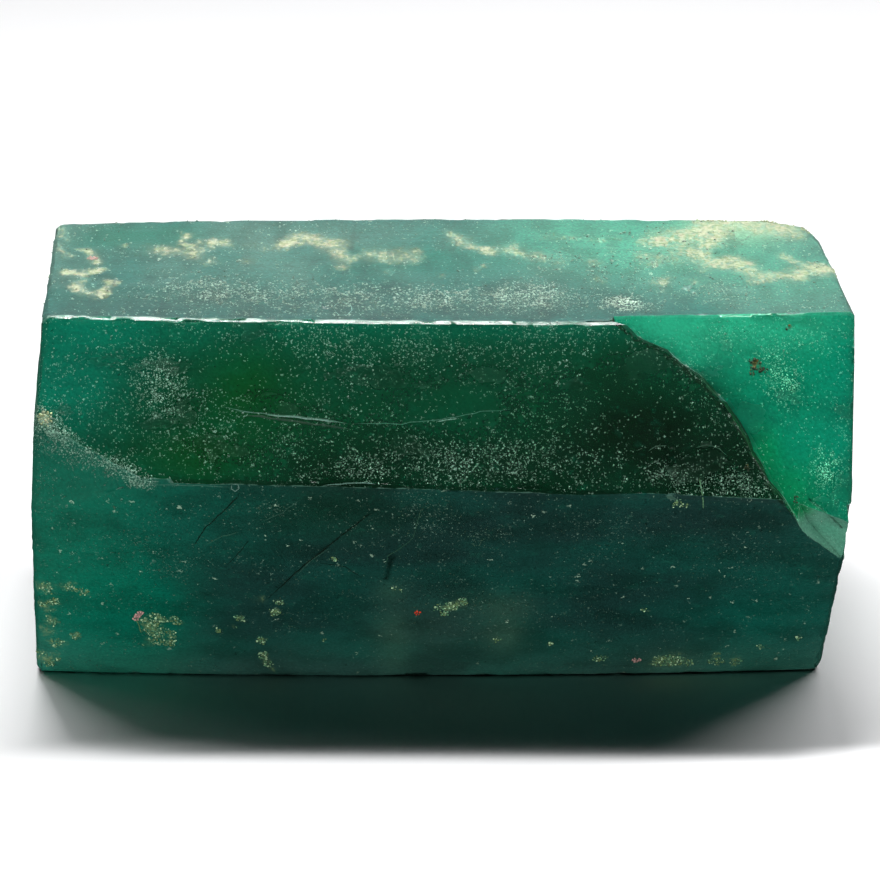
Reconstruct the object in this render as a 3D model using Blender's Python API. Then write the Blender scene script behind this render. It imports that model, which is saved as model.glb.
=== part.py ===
"""A raw emerald crystal, lying on one of its prism faces.

Beryl grows as a six-sided prism whose faces meet at 120 degrees, however unequal the faces are. The body
here is such a prism, made from the widths of its faces. Everything that happened to it since is cut from
it: a fracture at the front right, growth ledges and etch pits on the faces, broken ends and chipped edges.

Lengths are in millimetres until they are multiplied by MM. X runs along the crystal, the front is -Y, and
the crystal rests on Z = 0, with the middle of its outline at X = Y = 0.
"""

import math

import bmesh
import bpy
from mathutils import Matrix, Vector

MM = 0.001

# Widths of the prism's faces. The two at the back follow from these, because a hexagon with
# angles of 120 degrees closes in one way only.
LOWER_FRONT_WIDTH = 17.6
UPPER_FRONT_WIDTH = 9.8
TOP_WIDTH = 19.8
BOTTOM_WIDTH = 13.8
SIDE_DIFFERENCE = TOP_WIDTH - BOTTOM_WIDTH
UPPER_BACK_WIDTH = LOWER_FRONT_WIDTH - SIDE_DIFFERENCE
LOWER_BACK_WIDTH = UPPER_FRONT_WIDTH + SIDE_DIFFERENCE

# The edges, in order round the section, each with the width and the direction of the face that follows.
SECTION = (
    ("bottom_front", LOWER_FRONT_WIDTH, 120),
    ("front", UPPER_FRONT_WIDTH, 60),
    ("top_front", TOP_WIDTH, 0),
    ("top_back", UPPER_BACK_WIDTH, -60),
    ("back", LOWER_BACK_WIDTH, -120),
    ("bottom_back", BOTTOM_WIDTH, 180),
)
EDGES = [name for name, _, _ in SECTION]

# How far each edge leaves the true prism, as (y, z): at the left end, halfway, and at the right end.
EDGE_DRIFT = {
    "bottom_front": ((0.1, 0.0), (-0.6, 0.0), (0.4, 0.0)),
    "front": ((0.3, 0.4), (0.0, 0.05), (-0.45, -0.9)),
    "top_front": ((0.1, 0.15), (-0.2, -0.1), (-0.15, -0.1)),
    "top_back": ((-0.7, 0.1), (0.5, 0.08), (-0.15, 0.04)),
    "back": ((-0.8, 0.5), (0.3, 0.0), (-0.2, -0.7)),
    "bottom_back": ((-0.6, 0.0), (0.2, 0.0), (-0.4, 0.0)),
}

# Each end is nearly square to the axis: X at the bottom front edge, and its change per mm of Y and Z.
# At the left, the corner on the front edge stands a little out of that plane. At the right, the end
# leans outwards above the height of the front edge, by so much per mm.
LEFT_END = (-24.4, -0.069, 0.063)
RIGHT_END = (23.0, -0.026, 0.012)
LEFT_BULGE = 0.33
LEFT_BULGE_WIDTH = 5.0
RIGHT_LEAN = 0.046
RIGHT_LEAN_FROM = 15.0
STATIONS = 13
EDGE_BEVEL = 0.16
END_BEVEL = 0.28

# A cutter stands this far out of the surface that it cuts.
CUTTER_REACH = 4.0
RIM_GAP = 0.02
WALL_LEAN = 0.35
BOWL_RINGS = (1.0, 0.85, 0.7, 0.55, 0.4, 0.25)
PLANE_CUT_SIZE = 24.0
AXIS_YZ = (6.0, 11.5)

# Balls over the large radius are made with more faces. Pits are six-sided and start above the face.
LARGE_BALL = 2.0
LARGE_BALL_SUBDIVISIONS = 4
SMALL_BALL_SUBDIVISIONS = 2
PIT_SIDES = 6
PIT_RIM_HEIGHT = 0.1


def section_corners():
    """The six edges of the true prism in section, as (y, z), from the bottom front edge round."""
    y = z = 0.0
    corners = []
    for _, width, degrees in SECTION:
        corners.append((y, z))
        y += width * math.cos(math.radians(degrees))
        z += width * math.sin(math.radians(degrees))
    return corners


def edge_at(index, along):
    """(y, z) of an edge at a share of the crystal's length, from 0 at the left end to 1 at the right."""
    y, z = section_corners()[index]
    left, middle, right = EDGE_DRIFT[EDGES[index]]
    from_left = (1 - along) * (1 - 2 * along)
    from_middle = 4 * along * (1 - along)
    from_right = along * (2 * along - 1)
    drift = [from_left * a + from_middle * b + from_right * c for a, b, c in zip(left, middle, right)]
    return Vector((y + drift[0], z + drift[1]))


def end_x(end, yz):
    start, per_y, per_z = end
    return start + per_y * yz[0] + per_z * yz[1]


def left_bulge(yz):
    front = section_corners()[EDGES.index("front")]
    near = 1 - math.dist(front, yz) / LEFT_BULGE_WIDTH
    return LEFT_BULGE * max(near, 0)


def right_lean(yz):
    return RIGHT_LEAN * max(yz[1] - RIGHT_LEAN_FROM, 0)


def point_at(yz, along):
    left, right = end_x(LEFT_END, yz) - left_bulge(yz), end_x(RIGHT_END, yz) + right_lean(yz)
    return Vector((left + (right - left) * along, yz[0], yz[1]))


def ring_points(along, inset=0.0):
    """One section of the body, in order round it, with each edge replaced by the narrow facet worn on it."""
    corners = [edge_at(index, along) for index in range(6)]
    centre = sum(corners, Vector((0, 0))) / 6
    points = []
    for index, corner in enumerate(corners):
        for neighbour in (corners[index - 1], corners[(index + 1) % 6]):
            yz = corner + (neighbour - corner).normalized() * EDGE_BEVEL
            points.append(yz + (centre - yz).normalized() * inset)
    return points


def link(name, mesh_data):
    obj = bpy.data.objects.new(name, mesh_data)
    bpy.context.scene.collection.objects.link(obj)
    return obj


def object_from(name, bm):
    bmesh.ops.recalc_face_normals(bm, faces=bm.faces)
    mesh_data = bpy.data.meshes.new(name)
    bm.to_mesh(mesh_data)
    bm.free()
    return link(name, mesh_data)


def prism_body():
    """The whole prism: rings of section points along X, with a narrow bevel round each end.

    It is made of triangles, so that each face is flat although the edges drift.
    """
    bevel_share = END_BEVEL / (RIGHT_END[0] - LEFT_END[0])
    spaced = [bevel_share + (1 - 2 * bevel_share) * i / (STATIONS - 1) for i in range(STATIONS)]
    stations = [(0.0, END_BEVEL)] + [(along, 0.0) for along in spaced] + [(1.0, END_BEVEL)]

    bm = bmesh.new()
    rings = []
    for along, inset in stations:
        rings.append([bm.verts.new(point_at(yz, along) * MM) for yz in ring_points(along, inset)])
    for ring, following in zip(rings, rings[1:]):
        for i in range(len(ring)):
            j = (i + 1) % len(ring)
            bm.faces.new((ring[i], ring[j], following[j], following[i]))
    bm.faces.new(rings[0])
    bm.faces.new(rings[-1])
    bmesh.ops.triangulate(bm, faces=bm.faces[:])
    return object_from("emerald_crystal", bm)


def share_of(x):
    """The share of the crystal's length at X."""
    return (x - LEFT_END[0]) / (RIGHT_END[0] - LEFT_END[0])


def face_frame(face, x, down):
    """A frame on a prism face, at X and a distance down from its upper or first-named edge.

    Its own X runs along the crystal, its Y up the face to that edge, and its Z out of the crystal.
    face names the two edges between which it lies, the one that distances are taken from first.
    """
    first, second = (edge_at(EDGES.index(name), share_of(x)) for name in face)
    up = (first - second).normalized()
    yz = first - up * down
    y_axis = Vector((0, up.x, up.y))
    x_axis = Vector((1, 0, 0))
    z_axis = x_axis.cross(y_axis)
    centre = sum((edge_at(index, share_of(x)) for index in range(6)), Vector((0, 0))) / 6
    if z_axis.dot(Vector((0, yz.x - centre.x, yz.y - centre.y))) < 0:
        x_axis, z_axis = -x_axis, -z_axis
    return frame_of(Vector((x, yz.x, yz.y)), x_axis, y_axis, z_axis)


def end_frame(end, y, z):
    """A frame on an end, at (y, z): its Y runs up and its Z out of the crystal."""
    outward = 1 if end is RIGHT_END else -1
    z_axis = Vector((1, -end[1], -end[2])).normalized() * outward
    x_axis = Vector((0, 0, 1)).cross(z_axis).normalized()
    return frame_of(Vector((end_x(end, (y, z)), y, z)), x_axis, z_axis.cross(x_axis), z_axis)


def frame_of(origin, x_axis, y_axis, z_axis):
    turn = Matrix((x_axis, y_axis, z_axis)).transposed().to_4x4()
    return Matrix.Translation(origin) @ turn


# Faces, as the edge that distances down them are taken from and the edge across.
UPPER_FRONT = ("top_front", "front")
LOWER_FRONT = ("front", "bottom_front")
TOP = ("top_back", "top_front")
UPPER_BACK = ("top_back", "back")
LOWER_BACK = ("back", "bottom_back")
BOTTOM = ("bottom_back", "bottom_front")


def scale_to_metres(bm):
    bmesh.ops.scale(bm, vec=(MM, MM, MM), verts=bm.verts)


def loop_centre(outline):
    """The middle of an outline's own line, so that crowded points don't pull it to their side."""
    total = Vector((0, 0))
    length = 0.0
    for here, following in zip(outline, outline[1:] + outline[:1]):
        side = (Vector(following) - Vector(here)).length
        total += (Vector(here) + Vector(following)) / 2 * side
        length += side
    return total / length


def add_plate(cutters, frame, outline, depth, slope, bowl=0.0):
    """Cuts a thin flake off a face, within an outline in the frame.

    depth is how deep the flake's floor lies at the frame, and slope how much deeper it gets per mm in the
    frame's X and Y. bowl hollows the floor in the middle. The wall round it leans outwards, and where the
    floor rises out of the face there is no wall.
    """
    middle = loop_centre(outline)
    bm = bmesh.new()
    rings = [[], []]
    for point in outline:
        floor_height = -depth - slope[0] * point[0] - slope[1] * point[1]
        rings[0].append(bm.verts.new((*point, CUTTER_REACH)))
        rings[1].append(bm.verts.new((*point, max(0.0, floor_height + RIM_GAP))))
    for share in BOWL_RINGS if bowl else BOWL_RINGS[:1]:
        ring = []
        for point in outline:
            inward = middle - Vector(point)
            floor_height = -depth - slope[0] * point[0] - slope[1] * point[1]
            foot = Vector(point) + inward.normalized() * WALL_LEAN * max(0.0, -floor_height)
            place = middle + (foot - middle) * share
            height = -depth - slope[0] * place.x - slope[1] * place.y - bowl * (1 - share * share)
            ring.append(bm.verts.new((place.x, place.y, height)))
        rings.append(ring)
    for ring, following in zip(rings, rings[1:]):
        for i in range(len(ring)):
            j = (i + 1) % len(ring)
            bm.faces.new((ring[i], ring[j], following[j], following[i]))
    bm.faces.new(rings[0])
    bm.faces.new(rings[-1])
    bmesh.ops.transform(bm, matrix=frame, verts=bm.verts)
    scale_to_metres(bm)
    cutters.append(object_from("plate_cutter", bm))


def add_plane_cut(cutters, points):
    """Cuts off what lies outside the plane through three points."""
    first, second, third = points
    middle = (first + second + third) / 3
    normal = (second - first).cross(third - first).normalized()
    if normal.dot(middle - Vector((0, *AXIS_YZ))) < 0:
        normal = -normal
    bm = bmesh.new()
    bmesh.ops.create_cube(bm, size=PLANE_CUT_SIZE)
    turn = normal.to_track_quat("Z", "X").to_matrix().to_4x4()
    place = Matrix.Translation(middle + normal * PLANE_CUT_SIZE / 2) @ turn
    bmesh.ops.transform(bm, matrix=place, verts=bm.verts)
    scale_to_metres(bm)
    cutters.append(object_from("plane_cutter", bm))


def add_scoop(cutters, frame, depth, radius, stretch=1.0, turn=0.0):
    """Cuts a shallow shell-like hollow, as a blow leaves in glass: the cap of a large, stretched ball."""
    bm = bmesh.new()
    subdivisions = LARGE_BALL_SUBDIVISIONS if radius > LARGE_BALL else SMALL_BALL_SUBDIVISIONS
    bmesh.ops.create_icosphere(bm, subdivisions=subdivisions, radius=radius)
    shape = Matrix.Rotation(math.radians(turn), 4, "Z") @ Matrix.Diagonal((stretch, 1, 1, 1))
    lift = Matrix.Translation((0, 0, radius - depth))
    bmesh.ops.transform(bm, matrix=frame @ lift @ shape, verts=bm.verts)
    scale_to_metres(bm)
    cutters.append(object_from("scoop_cutter", bm))


# The fracture at the front right. Its outline is on the upper front face, as X and the distance down from
# the top edge: it starts on that edge, bulges in shallow scallops, and leaves over the front edge.
FRACTURE_OUTLINE = (
    (9.7, -0.1), (10.6, 0.2), (11.2, 0.8), (12.0, 1.2), (12.9, 1.6), (13.6, 2.3), (14.6, 2.9), (15.2, 3.7),
    (15.9, 4.5), (16.6, 5.6), (17.2, 6.6), (17.6, 7.6), (18.1, 8.4), (18.6, 9.3), (19.3, 10.1), (20.0, 11.2),
    (22.0, 14.0), (27.0, 14.0), (27.0, -4.0), (18.0, -4.0), (9.2, -3.0),
)
FRACTURE_AT_X = 9.8
FRACTURE_DEPTH = 0.95
FRACTURE_SLOPE = (0.045, -0.02)

# The splinter that came away under it, on the lower front face, as X and the distance down from the front
# edge. It is deepest beside the fracture and runs out at the right end.
SPLINTER_OUTLINE = (
    (19.4, 0.2), (19.8, 0.9), (20.2, 1.6), (20.6, 2.5), (21.1, 3.2), (22.2, 4.3), (23.0, 5.2), (25.0, 6.6),
    (27.0, 3.0), (27.0, -5.0), (19.2, -5.0),
)
SPLINTER_AT = (20.8, 1.3)
SPLINTER_DEPTH = 0.85
SPLINTER_SLOPE = (-0.3, 0.03)

# Growth plates, which end in a low ledge: face, X and distance down of the frame, outline round it,
# depth at the frame, the change of depth per mm in the frame's own X and Y, and the hollow in the middle.
PLATES = (
    (UPPER_BACK, -4.0, 3.0,
     ((-17.0, 0.0), (-6.0, 0.3), (4.0, 0.0), (17.0, 0.4), (15.0, -3.2), (-14.0, -2.8)),
     0.30, (0.0, 0.10), 0.0),
    (UPPER_BACK, 7.0, 7.6, ((-13.0, 0.3), (-2.0, 0.0), (9.0, 0.6), (10.0, -2.6), (-11.0, -2.4)),
     0.26, (0.0, 0.11), 0.0),
    (UPPER_BACK, -15.0, 8.6, ((-6.0, 0.0), (5.0, 0.3), (4.0, -1.9), (-5.0, -1.7)), 0.20, (0.0, 0.11), 0.0),
    (LOWER_BACK, -9.0, 4.0, ((-12.0, 0.0), (0.0, 0.7), (11.0, 0.0), (9.0, -3.8), (-10.0, -3.4)),
     0.32, (0.0, 0.09), 0.0),
    (LOWER_BACK, -12.0, 11.0, ((-9.0, 0.4), (8.0, 0.0), (7.0, -3.0), (-8.0, -2.6)), 0.24, (0.0, 0.08), 0.0),
    (LOWER_BACK, 13.0, 6.0, ((-7.0, 2.0), (-1.0, 4.2), (7.0, 3.4), (14.0, 4.0), (14.0, -6.0), (3.0, -5.2),
                             (-5.0, -3.0)), 0.55, (0.05, 0.0), 0.25),
    (BOTTOM, -6.0, 5.0, ((-11.0, 1.2), (0.0, 0.6), (9.0, 0.0), (12.0, -3.4), (1.0, -4.4), (-8.0, -4.0)),
     0.22, (0.0, 0.05), 0.0),
    (BOTTOM, 12.0, 9.5, ((-6.0, 0.6), (6.0, 0.0), (5.0, -2.6), (-5.0, -2.2)), 0.18, (0.0, 0.07), 0.0),
)

# Terraces and breaks on the ends: end, middle as (y, z), outline, depth, its change and the hollow.
END_PLATES = (
    (LEFT_END, (9.0, 12.0),
     ((-16.0, 2.0), (-5.5, 3.5), (2.0, -1.0), (4.5, -9.0), (3.0, -16.0), (-16.0, -16.0)),
     0.38, (0.0, 0.0), 0.0),
    (LEFT_END, (4.0, 8.0), ((-9.0, 1.0), (-1.5, 2.5), (3.5, -2.0), (2.5, -10.0), (-9.0, -10.0)),
     0.70, (0.0, 0.0), 0.0),
    (LEFT_END, (13.0, 18.0), ((-3.5, 0.0), (-1.0, 2.8), (4.0, 2.4), (6.0, -2.0), (1.5, -4.4)),
     0.26, (0.0, 0.0), 0.0),
    (RIGHT_END, (12.0, 8.0), ((-8.0, 2.0), (-4.0, 5.0), (2.0, 4.0), (6.0, 7.0), (12.0, 4.0), (12.0, -10.0),
                              (-6.0, -10.0)), 0.55, (0.03, -0.03), 0.35),
    (RIGHT_END, (7.0, 16.5), ((-5.0, 3.5), (1.0, 4.6), (5.5, 3.0), (5.0, -3.5), (-1.0, -4.2), (-4.6, -1.0)),
     0.25, (-0.02, 0.03), 0.35),
    (RIGHT_END, (-7.5, 12.5), ((-5.0, 1.5), (0.8, 1.3), (1.8, -0.6), (1.2, -3.4), (-5.0, -3.8)),
     0.16, (0.0, 0.035), 0.0),
)

# Shell-like hollows: frame, depth, radius of the ball, its stretch and its turn in degrees.
FACE_SCOOPS = (
    (LOWER_BACK, 7.0, 10.0, 0.8, 18.0, 1.4, 12),
    (LOWER_BACK, 18.5, 3.6, 0.5, 9.0, 1.3, -20),
    (UPPER_BACK, 15.5, 3.0, 0.4, 9.0, 1.6, 8),
    (UPPER_FRONT, 12.9, 8.2, 0.15, 2.4, 1.2, 70),
    (LOWER_FRONT, -14.5, 12.6, 0.10, 26.0, 1.3, -28),
    (LOWER_FRONT, 5.5, 6.5, 0.10, 22.0, 1.5, 24),
    (TOP, 17.5, 13.5, 0.10, 20.0, 1.5, -8),
    (TOP, -5.0, 8.5, 0.09, 34.0, 1.6, 12),
    (TOP, -17.0, 12.0, 0.10, 18.0, 1.2, 40),
    (TOP, 9.5, 5.0, 0.09, 22.0, 1.5, -15),
)
END_SCOOPS = (
    (RIGHT_END, 12.0, 15.5, 0.7, 9.0, 1.3, 30),
    (RIGHT_END, 14.5, 7.0, 0.6, 10.0, 1.2, -35),
    (RIGHT_END, 3.9, 5.6, 0.42, 8.5, 1.2, 62),
    (LEFT_END, 11.0, 5.0, 0.35, 9.0, 1.4, 15),
)

# Chips knocked off the edges: edge, X, radius of the ball and how deep it bites.
EDGE_CHIPS = (
    ("front", -5.0, 5.0, 0.08), ("front", 3.2, 2.6, 0.10), ("front", 13.1, 1.0, 0.20),
    ("bottom_front", -18.4, 1.3, 0.16), ("bottom_front", -2.2, 1.8, 0.14), ("bottom_front", 10.8, 1.5, 0.18),
    ("top_back", -14.0, 3.4, 0.14), ("top_back", 1.0, 3.0, 0.10), ("top_back", 13.0, 4.2, 0.15),
    ("back", -19.0, 2.0, 0.45), ("back", -6.0, 2.6, 0.40), ("back", 5.0, 1.6, 0.36), ("back", 18.5, 3.0, 0.60),
    ("bottom_back", -10.0, 2.0, 0.36), ("bottom_back", 3.5, 1.5, 0.32), ("bottom_back", 15.0, 2.4, 0.44),
)

# Etch pits, which are six-sided like the crystal: face, X, distance down, radius and depth.
PITS = (
    (TOP, -19.5, 15.6, 0.42, 0.22), (TOP, -6.5, 17.9, 0.36, 0.18), (TOP, 14.5, 14.0, 0.40, 0.20),
    (UPPER_BACK, -11.0, 2.0, 0.5, 0.24), (UPPER_BACK, 2.5, 9.6, 0.42, 0.2), (LOWER_BACK, -4.0, 9.4, 0.55, 0.26),
    (LOWER_BACK, -17.0, 8.2, 0.4, 0.2), (LOWER_BACK, 1.0, 13.2, 0.45, 0.2),
)


def add_fracture(cutters):
    """The main fracture, a step down to a shallow floor, and the splinter lost under it."""
    frame = face_frame(UPPER_FRONT, FRACTURE_AT_X, 0.0)
    outline = [(x - FRACTURE_AT_X, -down) for x, down in FRACTURE_OUTLINE]
    add_plate(cutters, frame, outline, FRACTURE_DEPTH, FRACTURE_SLOPE)

    at_x, at_down = SPLINTER_AT
    frame = face_frame(LOWER_FRONT, at_x, at_down)
    outline = [(x - at_x, at_down - down) for x, down in SPLINTER_OUTLINE]
    add_plate(cutters, frame, outline, SPLINTER_DEPTH, SPLINTER_SLOPE)


def on_face(face, x, down):
    return face_frame(face, x, down).translation


def add_broken_corners(cutters):
    """Flat breaks across corners, each through three points of the surface."""
    left_of_front_edge = (
        on_face(UPPER_FRONT, -22.9, 6.0),
        on_face(LOWER_FRONT, -16.4, 0.0),
        on_face(LOWER_FRONT, -22.9, 2.6),
    )
    top_back_right = (on_face(TOP, 20.3, 0.0), on_face(TOP, 22.5, 1.2), on_face(UPPER_BACK, 22.2, 1.8))
    top_right = (on_face(TOP, 22.5, 0.9), on_face(TOP, 23.35, 4.3), on_face(UPPER_BACK, 23.0, 2.2))
    top_back_left = (on_face(TOP, -23.3, 0.0), on_face(TOP, -23.9, 0.8), on_face(UPPER_BACK, -23.8, 1.0))
    bottom_back_right = (
        on_face(BOTTOM, 20.8, 0.0),
        on_face(BOTTOM, 22.5, 2.8),
        on_face(LOWER_BACK, 22.6, 12.6),
    )
    back_left = (
        on_face(UPPER_BACK, -22.3, 10.6),
        on_face(LOWER_BACK, -22.6, 2.2),
        on_face(UPPER_BACK, -24.0, 7.4),
    )
    for corner in (
        left_of_front_edge, top_back_right, top_right, top_back_left, bottom_back_right, back_left,
    ):
        add_plane_cut(cutters, corner)


def edge_frame(edge, x):
    """A frame on an edge, whose Z points out of the crystal between its two faces."""
    index = EDGES.index(edge)
    corners = [edge_at(i, share_of(x)) for i in (index - 1, index, (index + 1) % 6)]
    inward = (corners[0] - corners[1]).normalized() + (corners[2] - corners[1]).normalized()
    z_axis = Vector((0, -inward.x, -inward.y)).normalized()
    x_axis = Vector((1, 0, 0))
    return frame_of(Vector((x, corners[1].x, corners[1].y)), x_axis, z_axis.cross(x_axis), z_axis)


def add_pit(cutters, frame, radius, depth):
    """An etch pit, a shallow six-sided pyramid pointing into the face."""
    bm = bmesh.new()
    bmesh.ops.create_cone(
        bm,
        cap_ends=True,
        segments=PIT_SIDES,
        radius1=0.0,
        radius2=radius * (1 + PIT_RIM_HEIGHT / depth),
        depth=depth + PIT_RIM_HEIGHT,
    )
    lift = Matrix.Translation((0, 0, (PIT_RIM_HEIGHT - depth) / 2))
    bmesh.ops.transform(bm, matrix=frame @ lift, verts=bm.verts)
    scale_to_metres(bm)
    cutters.append(object_from("pit_cutter", bm))


def all_cutters():
    cutters = []
    add_fracture(cutters)
    add_broken_corners(cutters)
    for face, x, down, outline, depth, slope, bowl in PLATES:
        add_plate(cutters, face_frame(face, x, down), outline, depth, slope, bowl)
    for end, middle, outline, depth, slope, bowl in END_PLATES:
        add_plate(cutters, end_frame(end, *middle), outline, depth, slope, bowl)
    for face, x, down, depth, radius, stretch, turn in FACE_SCOOPS:
        add_scoop(cutters, face_frame(face, x, down), depth, radius, stretch, turn)
    for end, y, z, depth, radius, stretch, turn in END_SCOOPS:
        add_scoop(cutters, end_frame(end, y, z), depth, radius, stretch, turn)
    for edge, x, radius, depth in EDGE_CHIPS:
        add_scoop(cutters, edge_frame(edge, x), depth, radius)
    for face, x, down, radius, depth in PITS:
        add_pit(cutters, face_frame(face, x, down), radius, depth)
    return cutters


def cut_away(body, cutters):
    """Takes all the cutters from the body at once, and then removes them."""
    group = bpy.data.collections.new("cutters")
    for cutter in cutters:
        group.objects.link(cutter)
    modifier = body.modifiers.new("breaks", "BOOLEAN")
    modifier.operation = "DIFFERENCE"
    modifier.solver = "EXACT"
    modifier.operand_type = "COLLECTION"
    modifier.collection = group
    graph = bpy.context.evaluated_depsgraph_get()
    finished = bpy.data.meshes.new_from_object(body.evaluated_get(graph))
    body.modifiers.clear()
    body.data = finished
    for cutter in cutters:
        bpy.data.objects.remove(cutter)
    bpy.data.collections.remove(group)


def centre_on_floor(body):
    """Puts the middle of the outline at X = Y = 0 and the lowest point at Z = 0."""
    places = [vertex.co for vertex in body.data.vertices]
    lowest = [min(place[axis] for place in places) for axis in range(3)]
    highest = [max(place[axis] for place in places) for axis in range(3)]
    middle = [(low + high) / 2 for low, high in zip(lowest, highest)]
    body.data.transform(Matrix.Translation((-middle[0], -middle[1], -lowest[2])))


def emerald():
    material = bpy.data.materials.new("emerald")
    material.use_nodes = True
    surface = material.node_tree.nodes["Principled BSDF"]
    surface.inputs["Base Color"].default_value = (0.0, 0.13, 0.07, 1)
    surface.inputs["Roughness"].default_value = 0.25
    surface.inputs["Metallic"].default_value = 0.0
    surface.inputs["IOR"].default_value = 1.58
    return material


def main():
    for obj in list(bpy.data.objects):
        bpy.data.objects.remove(obj)
    body = prism_body()
    cut_away(body, all_cutters())
    centre_on_floor(body)
    body.data.materials.clear()
    body.data.materials.append(emerald())


main()
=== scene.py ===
"""The looks of the raw emerald crystal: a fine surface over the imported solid, its colours, dust and crust.

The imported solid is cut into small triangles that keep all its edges, and the wear, striations and ripples of
the real surface are pressed into them. Colour comes from named zones and marks. A mark is placed by its pixel
in the photograph and sits where the camera's ray through that pixel meets the crystal.

Lengths are in millimetres in the frame's own axes, and are multiplied by MM where Blender needs metres.
"""

import math
from collections import namedtuple

import bmesh
import bpy
import numpy as np
from mathutils import Matrix, Vector, geometry
from mathutils.bvhtree import BVHTree
from mathutils.kdtree import KDTree

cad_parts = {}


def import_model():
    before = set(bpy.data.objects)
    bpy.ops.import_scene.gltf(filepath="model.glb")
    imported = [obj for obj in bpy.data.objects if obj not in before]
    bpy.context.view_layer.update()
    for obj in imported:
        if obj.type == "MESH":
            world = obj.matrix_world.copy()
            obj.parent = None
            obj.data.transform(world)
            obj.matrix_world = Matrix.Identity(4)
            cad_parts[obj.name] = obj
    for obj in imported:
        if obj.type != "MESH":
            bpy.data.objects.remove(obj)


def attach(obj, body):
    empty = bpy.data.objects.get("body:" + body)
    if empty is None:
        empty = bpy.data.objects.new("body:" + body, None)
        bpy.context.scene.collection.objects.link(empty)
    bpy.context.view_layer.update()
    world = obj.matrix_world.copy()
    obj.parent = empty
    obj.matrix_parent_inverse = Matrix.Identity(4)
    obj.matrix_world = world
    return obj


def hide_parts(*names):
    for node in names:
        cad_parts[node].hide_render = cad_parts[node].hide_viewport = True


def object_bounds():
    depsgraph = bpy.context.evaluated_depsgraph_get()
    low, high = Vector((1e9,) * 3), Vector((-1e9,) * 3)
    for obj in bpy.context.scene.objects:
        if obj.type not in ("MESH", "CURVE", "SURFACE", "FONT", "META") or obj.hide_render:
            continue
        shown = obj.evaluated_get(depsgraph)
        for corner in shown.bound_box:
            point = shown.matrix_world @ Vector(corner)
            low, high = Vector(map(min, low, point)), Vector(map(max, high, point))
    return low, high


MM = 0.001
NODE = "emerald_crystal"
BODY = "root"

# The photograph's camera.
PHOTO_SIZE = 880
CAMERA_PLACE = (0.595, -183.73, 79.51)
CAMERA_DOWN = math.radians(20.0)
SENSOR_WIDTH = 36.0
LENS = 131.1
CLIP = (0.01, 20)

# The fine surface: the length of its triangles on the faces towards the camera and on the others, and how
# many lengths its inner points keep away from a face's outline.
FRONT_SPACING = 0.2
BACK_SPACING = 0.37
CLEAR_OF_OUTLINE = 0.55
FLAT_TOLERANCE = math.radians(0.05)
SHARP_ANGLE = math.radians(12)
SEED = 7

# The prism's faces, by their outward direction.
HALF, HEIGHT = 0.5, math.sqrt(3) / 2
DIRECTIONS = {
    "top": (0, 0, 1),
    "upper_front": (0, -HEIGHT, HALF),
    "lower_front": (0, -HEIGHT, -HALF),
    "bottom": (0, 0, -1),
    "lower_back": (0, HEIGHT, -HALF),
    "upper_back": (0, HEIGHT, HALF),
    "left_end": (-1, 0, 0),
    "right_end": (1, 0, 0),
}
TOWARDS_CAMERA = 0.2


def load_frame():
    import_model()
    box = [list(corner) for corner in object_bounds()]
    return bpy.data.objects[NODE], box


# ---------------------------------------------------------------- camera


def camera_axes():
    forward = Vector((0, math.cos(CAMERA_DOWN), -math.sin(CAMERA_DOWN)))
    up = Vector((0, math.sin(CAMERA_DOWN), math.cos(CAMERA_DOWN)))
    return Vector((1, 0, 0)), up, forward


def make_camera():
    data = bpy.data.cameras.new("camera")
    data.lens = LENS
    data.sensor_width = SENSOR_WIDTH
    data.clip_start, data.clip_end = CLIP
    camera = bpy.data.objects.new("camera", data)
    bpy.context.scene.collection.objects.link(camera)
    right, up, forward = camera_axes()
    turn = Matrix((right, up, -forward)).transposed().to_4x4()
    camera.matrix_world = Matrix.Translation(Vector(CAMERA_PLACE) * MM) @ turn
    bpy.context.scene.camera = camera


def pixel_ray(pixel):
    right, up, forward = camera_axes()
    pixels_per_unit = LENS / SENSOR_WIDTH * PHOTO_SIZE
    x = (pixel[0] - PHOTO_SIZE / 2) / pixels_per_unit
    y = (PHOTO_SIZE / 2 - pixel[1]) / pixels_per_unit
    return (right * x + up * y + forward).normalized()


class Solid:
    """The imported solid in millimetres, for finding where things lie on it."""

    def __init__(self, node):
        mesh = node.data
        self.points = [vertex.co / MM for vertex in mesh.vertices]
        self.polygons = [tuple(polygon.vertices) for polygon in mesh.polygons]
        self.tree = BVHTree.FromPolygons(self.points, self.polygons)

    def at_pixel(self, pixel):
        """The point of the crystal seen at a pixel, or the nearest one to its ray."""
        ray = pixel_ray(pixel)
        start = Vector(CAMERA_PLACE)
        place = self.tree.ray_cast(start, ray)[0]
        if place is None:
            beside = start + ray * -start.dot(ray)
            place = self.tree.find_nearest(beside)[0]
        return place


# ---------------------------------------------------------------- fine surface


def merged_polygons(node):
    """The solid's faces with their triangulation taken away, as a bmesh in millimetres."""
    bm = bmesh.new()
    bm.from_mesh(node.data)
    bmesh.ops.scale(bm, vec=(1 / MM,) * 3, verts=bm.verts)
    bmesh.ops.remove_doubles(bm, verts=bm.verts, dist=0.0005)
    bmesh.ops.dissolve_limit(bm, angle_limit=FLAT_TOLERANCE, verts=bm.verts, edges=bm.edges)
    bm.normal_update()
    return bm


# The fracture lies under the unbroken upper front face, and its wall faces right. The floor of the splinter
# scar leans away from the lower front face.
UPPER_FRONT_POINT = (12.0, -10.5, 23.6)
FRACTURE_LEFT, FRACTURE_UNDER = 9.0, 0.6
WALL_RIGHT, WALL_BACK, WALL_END = 22.6, -6.0, 20.2
SPLINTER_LEFT, SPLINTER_BACK, SPLINTER_LEAN = 20.5, -11.5, math.radians(11)
SPLINTER_BOTTOM, SPLINTER_TOP = 9.5, 14.5
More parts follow.
